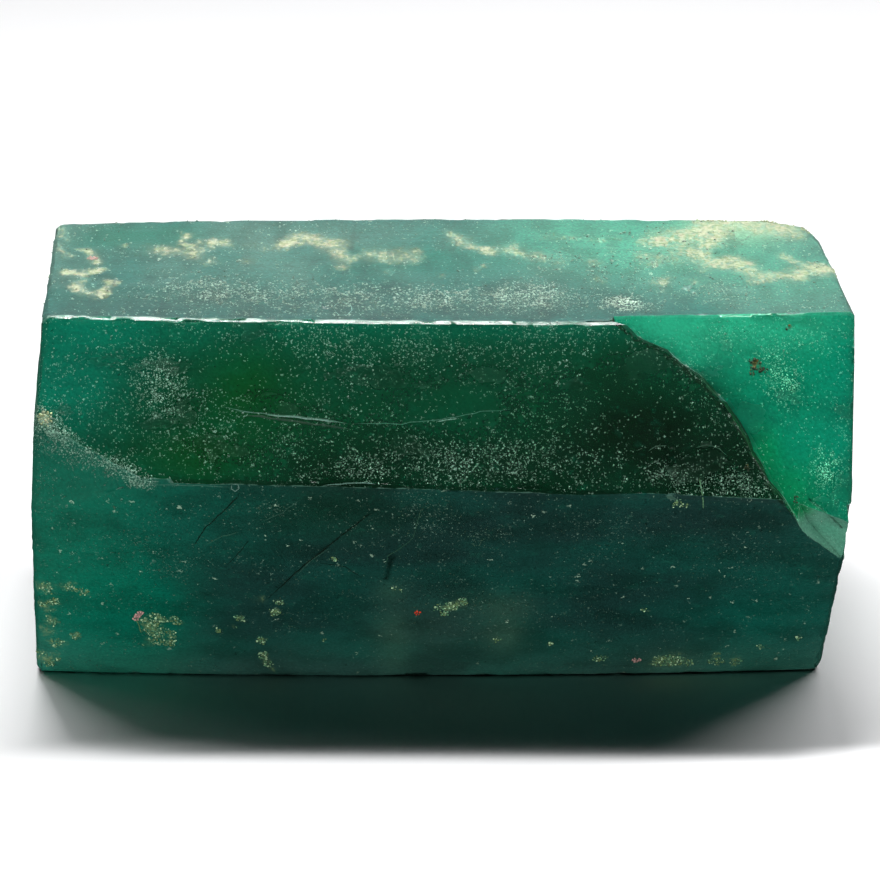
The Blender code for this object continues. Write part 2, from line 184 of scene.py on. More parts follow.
# The facet at the left front corner looks more forwards than upwards.
FACET_RIGHT, FACET_RISE, FACET_FORWARDS = -15.0, 0.2, -0.9


def region_of(centre, normal):
    """Which part of the crystal a face of the solid belongs to."""
    name = max(DIRECTIONS, key=lambda each: Vector(DIRECTIONS[each]).dot(normal))
    direction = Vector(DIRECTIONS[name])
    in_corner = centre.x > SPLINTER_LEFT and centre.y < SPLINTER_BACK
    if in_corner and SPLINTER_BOTTOM < centre.z < SPLINTER_TOP:
        if name != "lower_front" or direction.angle(normal) > SPLINTER_LEAN:
            return "splinter"
    if name == "upper_front" and centre.x < FACET_RIGHT:
        if abs(normal.z) < FACET_RISE and normal.y < FACET_FORWARDS:
            return "lower_front"
    if name == "upper_front" and centre.x > FRACTURE_LEFT:
        if (Vector(UPPER_FRONT_POINT) - centre).dot(direction) > FRACTURE_UNDER:
            return "fracture"
    if name == "right_end" and centre.x < WALL_RIGHT and centre.y < WALL_BACK:
        return "wall" if centre.x < WALL_END else "fracture"
    return name


def is_fine(face):
    """Whether a face of the solid is seen by the camera, from in front and above."""
    return face.normal.dot(-camera_axes()[2]) > TOWARDS_CAMERA


def split_edge(start, end, spacing):
    count = max(1, round((end - start).length / spacing))
    return [start.lerp(end, i / count) for i in range(1, count)]


def lattice(loop, spacing):
    """Points of a triangular lattice inside a flat outline, kept clear of the outline itself."""
    outline = np.array(loop)
    low, high = outline.min(axis=0), outline.max(axis=0)
    rows = np.arange(low[1] + spacing * 0.5, high[1], spacing * HEIGHT)
    columns = np.arange(low[0], high[0] + spacing, spacing)
    grid_x, grid_y = np.meshgrid(columns, rows)
    grid_x = grid_x + (np.arange(len(rows)) % 2 * spacing / 2)[:, None]
    points = np.column_stack([grid_x.ravel(), grid_y.ravel()])
    if not len(points):
        return points
    inside = np.zeros(len(points), bool)
    nearest = np.full(len(points), np.inf)
    for here, following in zip(outline, np.roll(outline, -1, axis=0)):
        side = following - here
        crosses = (here[1] > points[:, 1]) != (following[1] > points[:, 1])
        rise = side[1] if side[1] else 1e-12
        cut = here[0] + (points[:, 1] - here[1]) * side[0] / rise
        inside ^= crosses & (points[:, 0] < cut)
        along = np.clip(((points - here) @ side) / max(side @ side, 1e-12), 0, 1)
        nearest = np.minimum(nearest, np.linalg.norm(points - here - along[:, None] * side, axis=1))
    return points[inside & (nearest > spacing * CLEAR_OF_OUTLINE)]


def fine_surface(node, solid):
    """Cuts every face of the solid into small triangles, and returns points, triangles and their regions."""
    bm = merged_polygons(node)
    places = [vert.co.copy() for vert in bm.verts]
    bm.verts.index_update()
    on_edge = {}
    for edge in bm.edges:
        fine = any(is_fine(face) for face in edge.link_faces)
        start, end = edge.verts
        extra = split_edge(start.co, end.co, FRONT_SPACING if fine else BACK_SPACING)
        on_edge[edge] = list(range(len(places), len(places) + len(extra)))
        places.extend(extra)

    triangles, triangle_regions = [], []
    for face in bm.faces:
        region = region_of(face.calc_center_median(), face.normal)
        spacing = FRONT_SPACING if is_fine(face) else BACK_SPACING
        loop = []
        for corner in face.loops:
            loop.append(corner.vert.index)
            between = on_edge[corner.edge]
            loop.extend(between if corner.edge.verts[0] == corner.vert else reversed(between))
        origin = face.calc_center_median()
        side = Vector((1, 0, 0)) if abs(face.normal.x) < 0.7 else Vector((0, 1, 0))
        x_axis = (side - face.normal * side.dot(face.normal)).normalized()
        y_axis = face.normal.cross(x_axis)
        flat = [((places[i] - origin).dot(x_axis), (places[i] - origin).dot(y_axis)) for i in loop]
        numbers = list(loop)
        for x, y in lattice(flat, spacing):
            flat.append((x, y))
            numbers.append(len(places))
            places.append(solid.tree.find_nearest(origin + x_axis * x + y_axis * y)[0])
        outline = list(range(len(loop)))
        sides = [(i, (i + 1) % len(loop)) for i in outline]
        flat_vectors = [Vector(point) for point in flat]
        _, _, cells, sources, _, _ = geometry.delaunay_2d_cdt(flat_vectors, sides, [outline], 1, 1e-7)
        for cell in cells:
            corners = [numbers[sources[i][0]] for i in cell if sources[i]]
            if len(set(corners)) == 3:
                triangles.append(corners)
                triangle_regions.append(region)
    bm.free()
    return np.array([tuple(place) for place in places]), np.array(triangles), np.array(triangle_regions)


# ---------------------------------------------------------------- noise


def hashed(cells, seed):
    """A repeatable random number between -1 and 1 for each whole-number cell."""
    x, y, z = (cells[:, axis].astype(np.int64) for axis in range(3))
    number = (x * 73856093) ^ (y * 19349663) ^ (z * 83492791) ^ (seed * 2654435761)
    number = ((number ^ (number >> 13)) * 1274126177) & 0xFFFFFFFF
    number = ((number ^ (number >> 16)) * 2246822519) & 0xFFFFFFFF
    return (number ^ (number >> 15)) / 0x7FFFFFFF - 1.0


def noise(points, size, seed):
    """Smooth noise from -1 to 1, whose lumps have the given size: one number, or one for each axis."""
    scaled = points / np.asarray(size, float)
    base = np.floor(scaled)
    part = scaled - base
    part = part * part * (3 - 2 * part)
    total = np.zeros(len(points))
    for corner in np.ndindex(2, 2, 2):
        weight = np.prod(np.where(corner, part, 1 - part), axis=1)
        total += weight * hashed(base + corner, seed)
    return total


def layered_noise(points, size, layers, seed):
    total = np.zeros(len(points))
    for layer in range(layers):
        total += noise(points + 17.3 * layer, np.asarray(size, float) / 2**layer, seed + layer) / 2**layer
    return total


def smooth_step(values, low, high):
    share = np.clip((values - low) / (high - low), 0, 1)
    return share * share * (3 - 2 * share)


# ---------------------------------------------------------------- colours


def paint(red, green, blue):
    """A linear colour from the 0 to 255 numbers of a picture."""
    values = np.array([red, green, blue]) / 255
    return np.where(values <= 0.04045, values / 12.92, ((values + 0.055) / 1.055) ** 2.4)


# Colours as they are seen, by name, from 0 to 255.
SEEN_COLOURS = {
    "haze": (94, 130, 122), "pale_haze": (116, 146, 136), "slate_haze": (74, 114, 110),
    "deep_haze": (70, 124, 108), "mint": (106, 172, 148), "cream": (176, 208, 170), "moss": (7, 62, 38),
    "emerald": (16, 102, 76), "teal": (10, 120, 94), "olive": (6, 72, 26), "pine": (2, 31, 19),
    "jade": (14, 134, 99), "bright_jade": (44, 172, 130), "sea": (6, 128, 98), "leaf": (5, 140, 82),
    "whitish": (104, 158, 136), "slate": (25, 52, 48), "lagoon": (3, 100, 78), "spruce": (17, 74, 63),
    "grey_slate": (38, 62, 55), "sea_grey": (44, 112, 92), "pale_slate": (58, 92, 74),
    "glass": (8, 78, 52), "rough": (26, 88, 70), "green_dust": (136, 178, 156),
    "top_dust": (205, 225, 200), "fracture_dust": (118, 215, 170), "dots": (190, 225, 195),
    "rim": (22, 46, 40), "seam": (16, 46, 28), "worn_edge": (120, 175, 155), "pale_crust": (206, 212, 168),
    "crust": (164, 184, 130), "pinkish_crust": (214, 190, 160), "lower_crust": (138, 172, 116),
    "rust": (34, 44, 14), "light_rust": (96, 88, 30), "pink_grain": (176, 140, 136),
}
PALETTE = {name: paint(*values) for name, values in SEEN_COLOURS.items()}

# How brightly white shows on each part under the studio's light, the grey that gloss adds, how much dust lies
# all over it, its own colour and the colour that clouds it.
Part = namedtuple("Part", "light gloss dust ground clouds")
PARTS = {
    "top": Part(1.8, 0.1, 0.12, "haze", "pale_haze"),
    "upper_front": Part(1.59, 0.003, 0.2, "moss", "glass"),
    # The fracture's jade is painted glow: light shining through the thin broken corner from behind.
    "fracture": Part(1.54, 0.003, 0.14, "jade", "sea"),
    # The fracture's wall is painted near black, as painted shade in the step it forms.
    "wall": Part(1.9, 0, 0.02, "pine", "moss"),
    "splinter": Part(1.25, 0, 0.1, "whitish", "jade"),
    "lower_front": Part(1.0, 0.003, 0.1, "slate", "spruce"),
    "bottom": Part(1.2, 0, 0.08, "slate", "moss"),
    "lower_back": Part(1.3, 0, 0.16, "moss", "spruce"),
    "upper_back": Part(1.6, 0, 0.22, "glass", "emerald"),
    "left_end": Part(1.3, 0, 0.2, "rough", "lagoon"),
    "right_end": Part(1.3, 0, 0.2, "rough", "emerald"),
}
# The lower front face gets more light towards its upper edge. Its colour is divided by this light, so it is
# painted lighter towards the bottom, undoing the shade near the floor.
LOWER_LIGHT, LOWER_LIGHT_HEIGHTS = (0.42, 0.69, 0.93, 1.04, 1.09), (0.6, 4.5, 8.0, 11.5, 14.5)
DARKEST = np.array([0.0008, 0.004, 0.003])
CLOUD_SIZE, TOP_CLOUD_SIZE = (5.0, 2.6, 2.6), (2.6, 5.5, 2.6)
# Where clouds begin and are full, how much of the ground they hide, and how ragged patches are.
CLOUD_LEVELS, CLOUDINESS, RAGGED_SIZE, RAGGEDNESS = (-0.7, 1.1), 0.6, 2.2, 0.25

# Patches of colour on each part: the pixel at the middle, the reach in mm along and across the crystal, the
# colour and how strong it is.
PATCHES = {
    "top": [
        (670, 240, 9.0, 9.5, "mint", 0.9), (800, 285, 5.0, 6.0, "mint", 0.45),
        (560, 236, 3.4, 4.0, "mint", 0.35), (735, 232, 3.0, 2.6, "cream", 0.4),
        (60, 235, 2.0, 4.0, "pale_haze", 0.5), (130, 236, 4.0, 3.0, "deep_haze", 0.6),
        (410, 262, 4.0, 3.0, "deep_haze", 0.35), (155, 300, 6.0, 1.6, "deep_haze", 0.5),
        (540, 290, 4.0, 2.5, "pale_haze", 0.3), (330, 312, 17.0, 4.6, "slate_haze", 0.85),
        (600, 312, 6.0, 3.4, "slate_haze", 0.6), (480, 300, 6.0, 4.0, "slate_haze", 0.4),
        (130, 305, 5.0, 4.0, "slate_haze", 0.6), (320, 236, 3.5, 3.0, "pale_haze", 0.6),
    ],
    "upper_front": [
        # The teal patches near the left end are painted glow: light shining through the crystal's thin end.
        (100, 330, 3.5, 0.9, "teal", 0.9), (60, 370, 3.2, 3.6, "teal", 0.95),
        (110, 345, 3.0, 2.4, "teal", 0.5), (280, 326, 12.0, 0.9, "emerald", 0.8),
        (520, 326, 9.0, 0.8, "emerald", 0.6), (225, 334, 4.5, 1.6, "emerald", 0.7),
        (330, 350, 12.0, 1.6, "glass", 0.6), (250, 390, 3.0, 2.6, "olive", 0.65),
        (200, 455, 3.0, 1.8, "olive", 0.7), (640, 440, 5.5, 3.6, "pine", 0.95),
        (720, 470, 4.0, 3.0, "pine", 0.8), (480, 465, 9.0, 1.8, "pine", 0.65),
        (330, 470, 4.5, 1.6, "pine", 0.5),
    ],
    "fracture": [
        # The bright jade patches are painted glow, strongest along the fracture's upper border.
        (690, 328, 6.0, 1.5, "bright_jade", 1.0), (700, 352, 2.4, 1.6, "bright_jade", 0.35),
        (790, 326, 5.5, 1.1, "bright_jade", 0.7), (790, 490, 1.6, 1.6, "leaf", 0.7),
        (765, 455, 0.9, 1.6, "leaf", 0.7), (717, 392, 1.5, 1.0, "olive", 0.45),
        (845, 400, 1.2, 5.0, "sea", 0.9), (826, 541, 1.3, 0.9, "whitish", 1.0),
        (802, 514, 0.9, 0.6, "leaf", 0.9),
    ],
    "splinter": [
        (802, 508, 0.6, 0.6, "leaf", 0.9),
    ],
    "right_end": [
        (834, 600, 4.0, 7.0, "slate", 0.9),
    ],
    "lower_front": [
        # The lagoon patches near the left end are painted glow: light shining through the crystal's thin end.
        (50, 560, 5.4, 14.0, "lagoon", 1.0), (140, 500, 5.0, 3.2, "lagoon", 0.8),
        (120, 600, 3.6, 9.0, "lagoon", 0.75), (60, 480, 4.5, 3.4, "lagoon", 1.0),
        (200, 520, 3.6, 3.0, "spruce", 0.6), (330, 512, 4.6, 2.6, "moss", 0.4),
        (392, 592, 0.9, 1.0, "pale_slate", 0.35), (503, 636, 1.3, 2.0, "pale_slate", 0.55),
        (500, 606, 1.8, 1.2, "pale_slate", 0.4), (770, 620, 4.2, 5.0, "spruce", 0.95),
        (800, 560, 3.0, 4.0, "spruce", 0.6), (440, 625, 3.6, 3.0, "grey_slate", 0.8),
        (393, 650, 1.1, 3.0, "pale_slate", 0.4), (58, 664, 3.4, 2.6, "sea_grey", 0.6),
        (740, 664, 5.5, 2.2, "sea_grey", 0.25), (668, 662, 1.4, 0.9, "pale_slate", 0.7),
        (440, 674, 40.0, 3.0, "grey_slate", 0.55), (60, 660, 4.0, 5.0, "spruce", 0.4),
    ],
}

# Where fine pale dust lies on each part: the pixel, the reach in mm along and across, and how thick it is.
DUST = {
    "upper_front": [
        (160, 380, 1.3, 1.7, 2.2), (140, 350, 3.4, 1.6, 0.4), (330, 350, 4.5, 2.0, 0.55),
        (345, 380, 2.2, 2.2, 0.4), (250, 340, 5.0, 0.9, 0.35), (500, 350, 6.5, 2.2, 0.5),
        (580, 335, 3.0, 1.2, 0.5), (480, 462, 4.5, 1.3, 1.5), (540, 450, 3.5, 1.8, 0.4),
        (365, 465, 2.4, 1.0, 1.0), (260, 450, 4.0, 2.4, 0.35), (160, 440, 3.5, 1.8, 0.35),
        (670, 475, 1.8, 1.0, 0.7), (735, 485, 2.2, 0.7, 1.5), (715, 420, 1.6, 2.4, 0.35),
        (60, 372, 1.0, 0.8, 0.5), (215, 415, 4.0, 2.0, 0.5), (590, 460, 4.0, 1.4, 0.45),
        (560, 390, 2.0, 1.6, 0.3), (430, 345, 5.0, 1.8, 0.5), (300, 440, 3.0, 2.0, 0.35),
        (50, 418, 0.8, 0.9, 2.5),
    ],
    "lower_front": [
        (50, 432, 0.8, 1.0, 2.5), (50, 500, 1.2, 1.8, 0.4), (275, 508, 1.6, 0.7, 0.55),
        (425, 515, 1.9, 2.0, 0.45), (490, 535, 2.2, 1.2, 0.45), (600, 525, 3.0, 1.4, 0.35),
        (170, 565, 2.4, 2.0, 0.35), (150, 545, 2.2, 1.2, 0.3), (480, 615, 3.6, 2.4, 0.3),
        (740, 560, 4.0, 3.0, 0.15),
    ],
    "fracture": [
        (725, 332, 2.2, 0.7, 0.5), (775, 345, 2.4, 1.2, 0.45), (783, 380, 0.8, 1.1, 3.0),
        (776, 358, 1.0, 0.8, 1.5), (805, 336, 1.5, 0.8, 0.5), (826, 468, 0.8, 0.9, 3.0),
        (842, 440, 0.6, 2.0, 0.6), (815, 500, 1.4, 0.7, 0.5),
    ],
    "top": [
        (400, 298, 15.0, 2.4, 0.9), (250, 293, 6.0, 2.6, 0.9), (530, 297, 2.6, 2.4, 1.8),
        (470, 300, 3.4, 1.8, 0.9), (628, 304, 1.5, 1.3, 2.6), (340, 300, 2.4, 2.0, 0.9),
        (200, 285, 3.0, 2.0, 0.9), (715, 292, 3.0, 2.4, 0.7), (620, 270, 4.0, 4.0, 0.5),
        (560, 262, 2.4, 2.4, 0.5),
    ],
}
# Where the dust is thin, given in the same way, and by how much.
BARE = {
    "upper_front": [
        (630, 402, 3.4, 2.6, 0.85), (250, 372, 2.6, 1.9, 0.7), (400, 405, 3.0, 1.2, 0.5),
    ],
    "fracture": [
        (745, 425, 1.8, 2.2, 0.6),
    ],
    "top": [
        (440, 250, 8.0, 4.0, 0.6),
    ],
}
# Lines of dust through pixels, with their width in mm and how thick it is.
DUST_LINES = [
    ([(38, 414), (60, 430), (84, 449), (108, 466), (142, 482)], 0.5, 6.0),
    ([(38, 430), (60, 444), (100, 466)], 0.8, 2.2), ([(140, 483), (240, 484), (330, 486)], 0.2, 0.45),
    ([(560, 486), (660, 492), (780, 503)], 0.3, 0.5), ([(70, 314), (300, 314), (600, 310)], 0.5, 0.45),
    ([(612, 330), (660, 356), (700, 386), (740, 436), (768, 490)], 0.35, 0.5),
]

# Pale crust of the rock the crystal grew in: the line through pixels, its width in mm and how thick it is.
CRUST_LINES = [
    ([(88, 250), (93, 262)], 0.5, 0.8), ([(60, 272), (75, 275), (95, 272)], 0.4, 0.9),
    ([(62, 228), (61, 242), (62, 256)], 0.25, 0.6),
    ([(85, 273), (80, 283), (95, 297), (118, 284)], 0.42, 1.0), ([(152, 250), (168, 252)], 0.75, 0.7),
    ([(184, 236), (187, 248), (197, 258)], 0.5, 0.85), ([(212, 243), (222, 243)], 0.7, 0.85),
    ([(245, 246), (262, 248)], 0.6, 0.35),
    ([(285, 244), (300, 238), (318, 240), (335, 250), (345, 258)], 0.75, 0.95),
    ([(320, 238), (352, 244)], 0.5, 0.55), ([(375, 256), (410, 256)], 0.8, 0.75),
    ([(455, 236), (470, 246), (490, 254)], 0.6, 0.8), ([(510, 250), (535, 256)], 0.9, 0.6),
    ([(540, 236), (620, 240)], 0.5, 0.35),
    ([(660, 240), (700, 236), (712, 224), (750, 224), (790, 230)], 1.1, 1.0),
    ([(715, 224), (712, 240), (700, 252)], 0.9, 0.95),
    ([(686, 252), (705, 262), (730, 262), (745, 268)], 0.9, 1.0),
    ([(745, 268), (758, 278), (776, 276)], 0.6, 0.9), ([(790, 276), (800, 270), (828, 270)], 0.7, 0.95),
    ([(782, 256), (792, 260)], 0.5, 0.6), ([(645, 256), (672, 262)], 0.7, 0.6),
    ([(668, 276), (660, 290)], 0.5, 0.45),
]
# Spots of crust and of coloured grains: the pixel, the radius in mm and how thick they are.
CRUST_SPOTS = [
    (66, 586, 0.5, 0.5), (52, 610, 0.5, 0.5), (85, 596, 0.4, 0.5), (90, 607, 0.3, 0.7), (72, 632, 0.3, 0.8),
    (52, 650, 0.4, 0.5), (155, 628, 0.75, 0.8), (165, 640, 0.5, 0.7), (145, 645, 0.35, 0.8),
    (146, 620, 0.5, 0.6), (176, 622, 0.3, 0.6), (203, 611, 0.25, 0.7), (214, 621, 0.15, 0.8),
    (221, 628, 0.15, 0.8), (232, 628, 0.18, 0.9), (243, 618, 0.3, 0.8), (258, 600, 0.4, 0.6),
    (270, 612, 0.3, 0.8), (262, 655, 0.4, 0.6), (268, 668, 0.35, 0.7), (339, 556, 0.18, 1.0),
    (395, 588, 0.35, 0.6), (326, 641, 0.14, 1.0), (452, 606, 0.4, 0.9), (444, 613, 0.2, 0.9),
    (431, 617, 0.14, 0.8), (545, 640, 0.14, 0.8), (554, 644, 0.14, 1.0), (540, 651, 0.2, 0.7),
    (573, 631, 0.12, 0.9), (600, 658, 0.22, 1.0), (667, 659, 0.75, 0.9), (678, 651, 0.3, 0.7),
    (728, 648, 0.15, 0.8), (715, 660, 0.5, 0.5), (762, 647, 0.14, 0.8), (590, 262, 0.6, 0.6),
    (615, 252, 0.5, 0.55), (560, 262, 0.5, 0.5), (600, 280, 0.5, 0.5), (655, 266, 0.6, 0.6),
    (345, 268, 0.6, 0.6), (390, 272, 0.5, 0.5), (440, 276, 0.4, 0.5), (210, 262, 0.6, 0.55),
    (250, 262, 0.55, 0.55), (120, 246, 0.5, 0.5), (64, 256, 0.5, 0.6), (480, 268, 0.5, 0.45),
    (775, 232, 0.6, 0.6), (690, 282, 0.5, 0.5), (50, 585, 0.7, 0.55), (46, 418, 0.34, 0.7),
    (58, 600, 0.6, 0.5), (50, 630, 0.6, 0.55), (60, 640, 0.5, 0.5), (78, 590, 0.4, 0.6),
    (490, 654, 0.3, 0.8), (517, 502, 0.14, 0.7), (673, 503, 0.32, 1.0), (686, 503, 0.14, 0.8),
    (802, 640, 0.4, 0.5), (470, 622, 0.14, 0.7), (700, 594, 0.12, 0.9), (650, 610, 0.12, 0.9),
    (47, 604, 0.5, 0.7), (54, 622, 0.5, 0.6), (52, 640, 0.5, 0.65), (50, 656, 0.6, 0.7),
    (76, 605, 0.35, 0.8), (88, 592, 0.35, 0.8), (685, 662, 0.5, 0.7), (735, 662, 0.5, 0.6),
    (720, 655, 0.3, 0.7), (655, 664, 0.4, 0.6), (500, 640, 0.4, 0.4), (440, 604, 0.3, 0.8),
    (462, 604, 0.3, 0.8), (470, 600, 0.2, 0.7), (165, 622, 0.35, 0.9), (150, 640, 0.35, 0.9),
    (172, 634, 0.3, 0.9), (158, 618, 0.3, 0.8), (265, 640, 0.35, 0.8), (262, 662, 0.35, 0.8),
    (273, 604, 0.3, 0.8),
]
PINK_SPOTS = [
    (138, 616, 0.2, 1.0), (329, 669, 0.16, 1.0), (638, 659, 0.22, 1.0), (92, 258, 0.25, 1.0),
    (787, 576, 0.1, 1.0),
]
RED_SPOTS = [(418, 614, 0.17, 1.0)]
RUST_SPOTS = [
    (755, 361, 0.42, 1.0), (752, 372, 0.26, 0.8), (762, 368, 0.26, 0.9), (783, 332, 0.34, 0.8),
    (748, 465, 0.12, 0.7), (838, 331, 0.2, 0.7), (801, 503, 0.22, 0.8), (70, 440, 0.25, 0.4),
    (764, 478, 0.12, 0.7), (840, 427, 0.12, 0.6), (840, 452, 0.15, 0.6), (702, 336, 0.12, 0.5),
]

# Dark lines, each with its width in mm and strength: cracks, and painted shadows along two diagonal ridges on
# the lower front. Then the borders of the fracture and the splinter scar.
DARK_LINES = [
    # The first two lines are painted shadows along diagonal ridges on the lower front.
    ([(244, 492), (230, 508), (205, 528), (192, 548)], 0.26, 0.55),
    ([(372, 512), (340, 536), (300, 568), (266, 600)], 0.26, 0.6),
    ([(300, 505), (262, 535), (236, 560)], 0.3, 0.4),
    ([(310, 560), (345, 568), (378, 590), (388, 605)], 0.2, 0.5), ([(392, 555), (386, 578)], 0.3, 0.7),
    ([(355, 222), (352, 250)], 0.3, 0.6), ([(455, 532), (500, 545), (560, 548)], 0.22, 0.4),
    ([(560, 600), (610, 598), (650, 590)], 0.24, 0.45), ([(700, 604), (732, 608)], 0.2, 0.5),
    ([(640, 560), (720, 556), (800, 550)], 0.2, 0.35),
]
SEAM = [
    (617, 324), (634, 339), (657, 350), (677, 364), (696, 379), (710, 393), (720, 407), (734, 424),
    (745, 440), (753, 457), (762, 472), (770, 488), (781, 502), (793, 512),
]
SPLINTER_LINE = [(808, 498), (820, 507), (832, 518), (842, 529)]
# Fine ledges, scratches and healed cracks, with painted highlights and shadows along some of them: the line
# through pixels, its width in mm and its colour.
HAIRLINES = [
    ([(222, 407), (262, 414), (300, 417), (325, 420), (352, 424)], 0.05, (66, 116, 98)),
    # Painted highlight where the ledge catches the light.
    ([(266, 415), (290, 417), (318, 420), (338, 423)], 0.055, (128, 162, 150)),
    # Painted shadow under the ledge.
    ([(246, 415), (300, 422), (326, 426), (352, 429)], 0.12, (5, 44, 30)),
    ([(352, 424), (400, 424), (450, 418), (480, 412), (515, 409)], 0.045, (34, 104, 82)),
    # Painted highlight on the ledge.
    ([(436, 421), (448, 420), (458, 418)], 0.05, (118, 165, 146)),
    # Painted highlight along the front edge.
    ([(322, 486), (345, 483), (362, 483), (378, 485)], 0.07, (96, 134, 122)),
    ([(150, 485), (200, 486), (232, 487)], 0.05, (70, 125, 108)),
    ([(232, 484), (238, 485), (239, 489), (235, 492), (231, 489), (232, 484)], 0.05, (112, 150, 138)),
    ([(424, 503), (418, 520), (413, 538), (400, 548), (388, 556), (384, 570)], 0.05, (44, 92, 72)),
    ([(333, 309), (336, 304), (343, 302), (350, 305), (352, 310), (347, 315), (339, 315), (333, 309)], 0.05,
     (136, 176, 162)),
    ([(695, 447), (708, 445), (720, 449), (729, 457)], 0.035, (40, 84, 66)),
    ([(648, 452), (656, 446), (668, 446)], 0.035, (36, 80, 60)),
    ([(136, 620), (139, 626), (141, 634)], 0.06, (120, 150, 96)),
    ([(700, 478), (702, 492), (703, 510)], 0.07, (92, 140, 100)),
    # Painted shadows along the two diagonal ridges on the lower front.
    ([(240, 493), (228, 508), (205, 529), (194, 546)], 0.07, (4, 36, 26)),
    ([(372, 513), (340, 537), (300, 569), (268, 599)], 0.08, (6, 32, 25)),
    ([(330, 548), (312, 560), (296, 576)], 0.05, (48, 92, 78)),
    ([(300, 500), (284, 512), (262, 522)], 0.05, (50, 100, 84)),
    ([(320, 563), (345, 567), (362, 578)], 0.06, (6, 34, 28)),
    ([(250, 540), (236, 556), (226, 566)], 0.05, (8, 44, 34)),
    ([(206, 545), (222, 536), (240, 532)], 0.04, (60, 112, 92)),
    ([(808, 500), (820, 508), (832, 518), (843, 528)], 0.05, (40, 110, 82)),
]
# Hairlines flutter a little, rise by the lift, taper to a tip at both ends and vary in breadth.
FLUTTER, RIBBON_STEP, RIBBON_LIFT = 0.05, 0.06, 0.006
RIBBON_TAPER, RIBBON_TIP, RIBBON_UNEVEN = 8, 0.1, (0.55, 1.3)
# Painted shade: a darker band round the ends, where their narrow bevels lie in shadow.
RIM_SHADE_WIDTH = 0.5
# Marks on the top, above this level, are drawn this much deeper.
TOP_DEPTH, TOP_LEVEL = 0.6, 22.5
# Marks fade out from their middle, so they are drawn wider than they look.
DUST_SPREAD, CRUST_LINE_SPREAD, CRUST_SPREAD, GRAIN_SPREAD, DARK_SPREAD = 1.5, 1.7, 1.5, 1.4, 3
SPLINTER_LINE_WIDTH, SPLINTER_LINE_STRENGTH, SEAM_WIDTH = 0.25, 0.8, 0.5
# Shade in the fracture along its border, from this point of the seam on.
SHADE_FROM, SHADE_WIDTH = 3, 1.3
HIDDEN_PARTS = ("upper_back", "lower_back", "left_end", "right_end", "bottom")
# Rough and broad noise thicken and thin the dust. Noise between two levels grows clumps of crust on the
# hidden parts, and breaks up the crust on the back.
ROUGH_SIZE, BROAD_SIZE = 0.7, (3.0, 1.6, 1.6)
CLUMP_SIZE, CLUMP_LEVELS, CLUMP_THICKNESS = (2.6, 1.5, 1.5), (0.75, 1.35), 0.8
GAP_SIZE, GAP_LEVELS = 1.1, (-0.5, 0.4)


# ---------------------------------------------------------------- the surface and its masks


def segment_distance(points, start, end):
    side = end - start
    along = np.clip((points - start) @ side / max(side @ side, 1e-12), 0, 1)
    return np.linalg.norm(points - start - along[:, None] * side, axis=1)


def depth_scale(place):
    """The top is seen at a slant, and marks there reach further back than sideways."""
    return np.array((1, TOP_DEPTH, 1)) if place[2] > TOP_LEVEL else 1.0


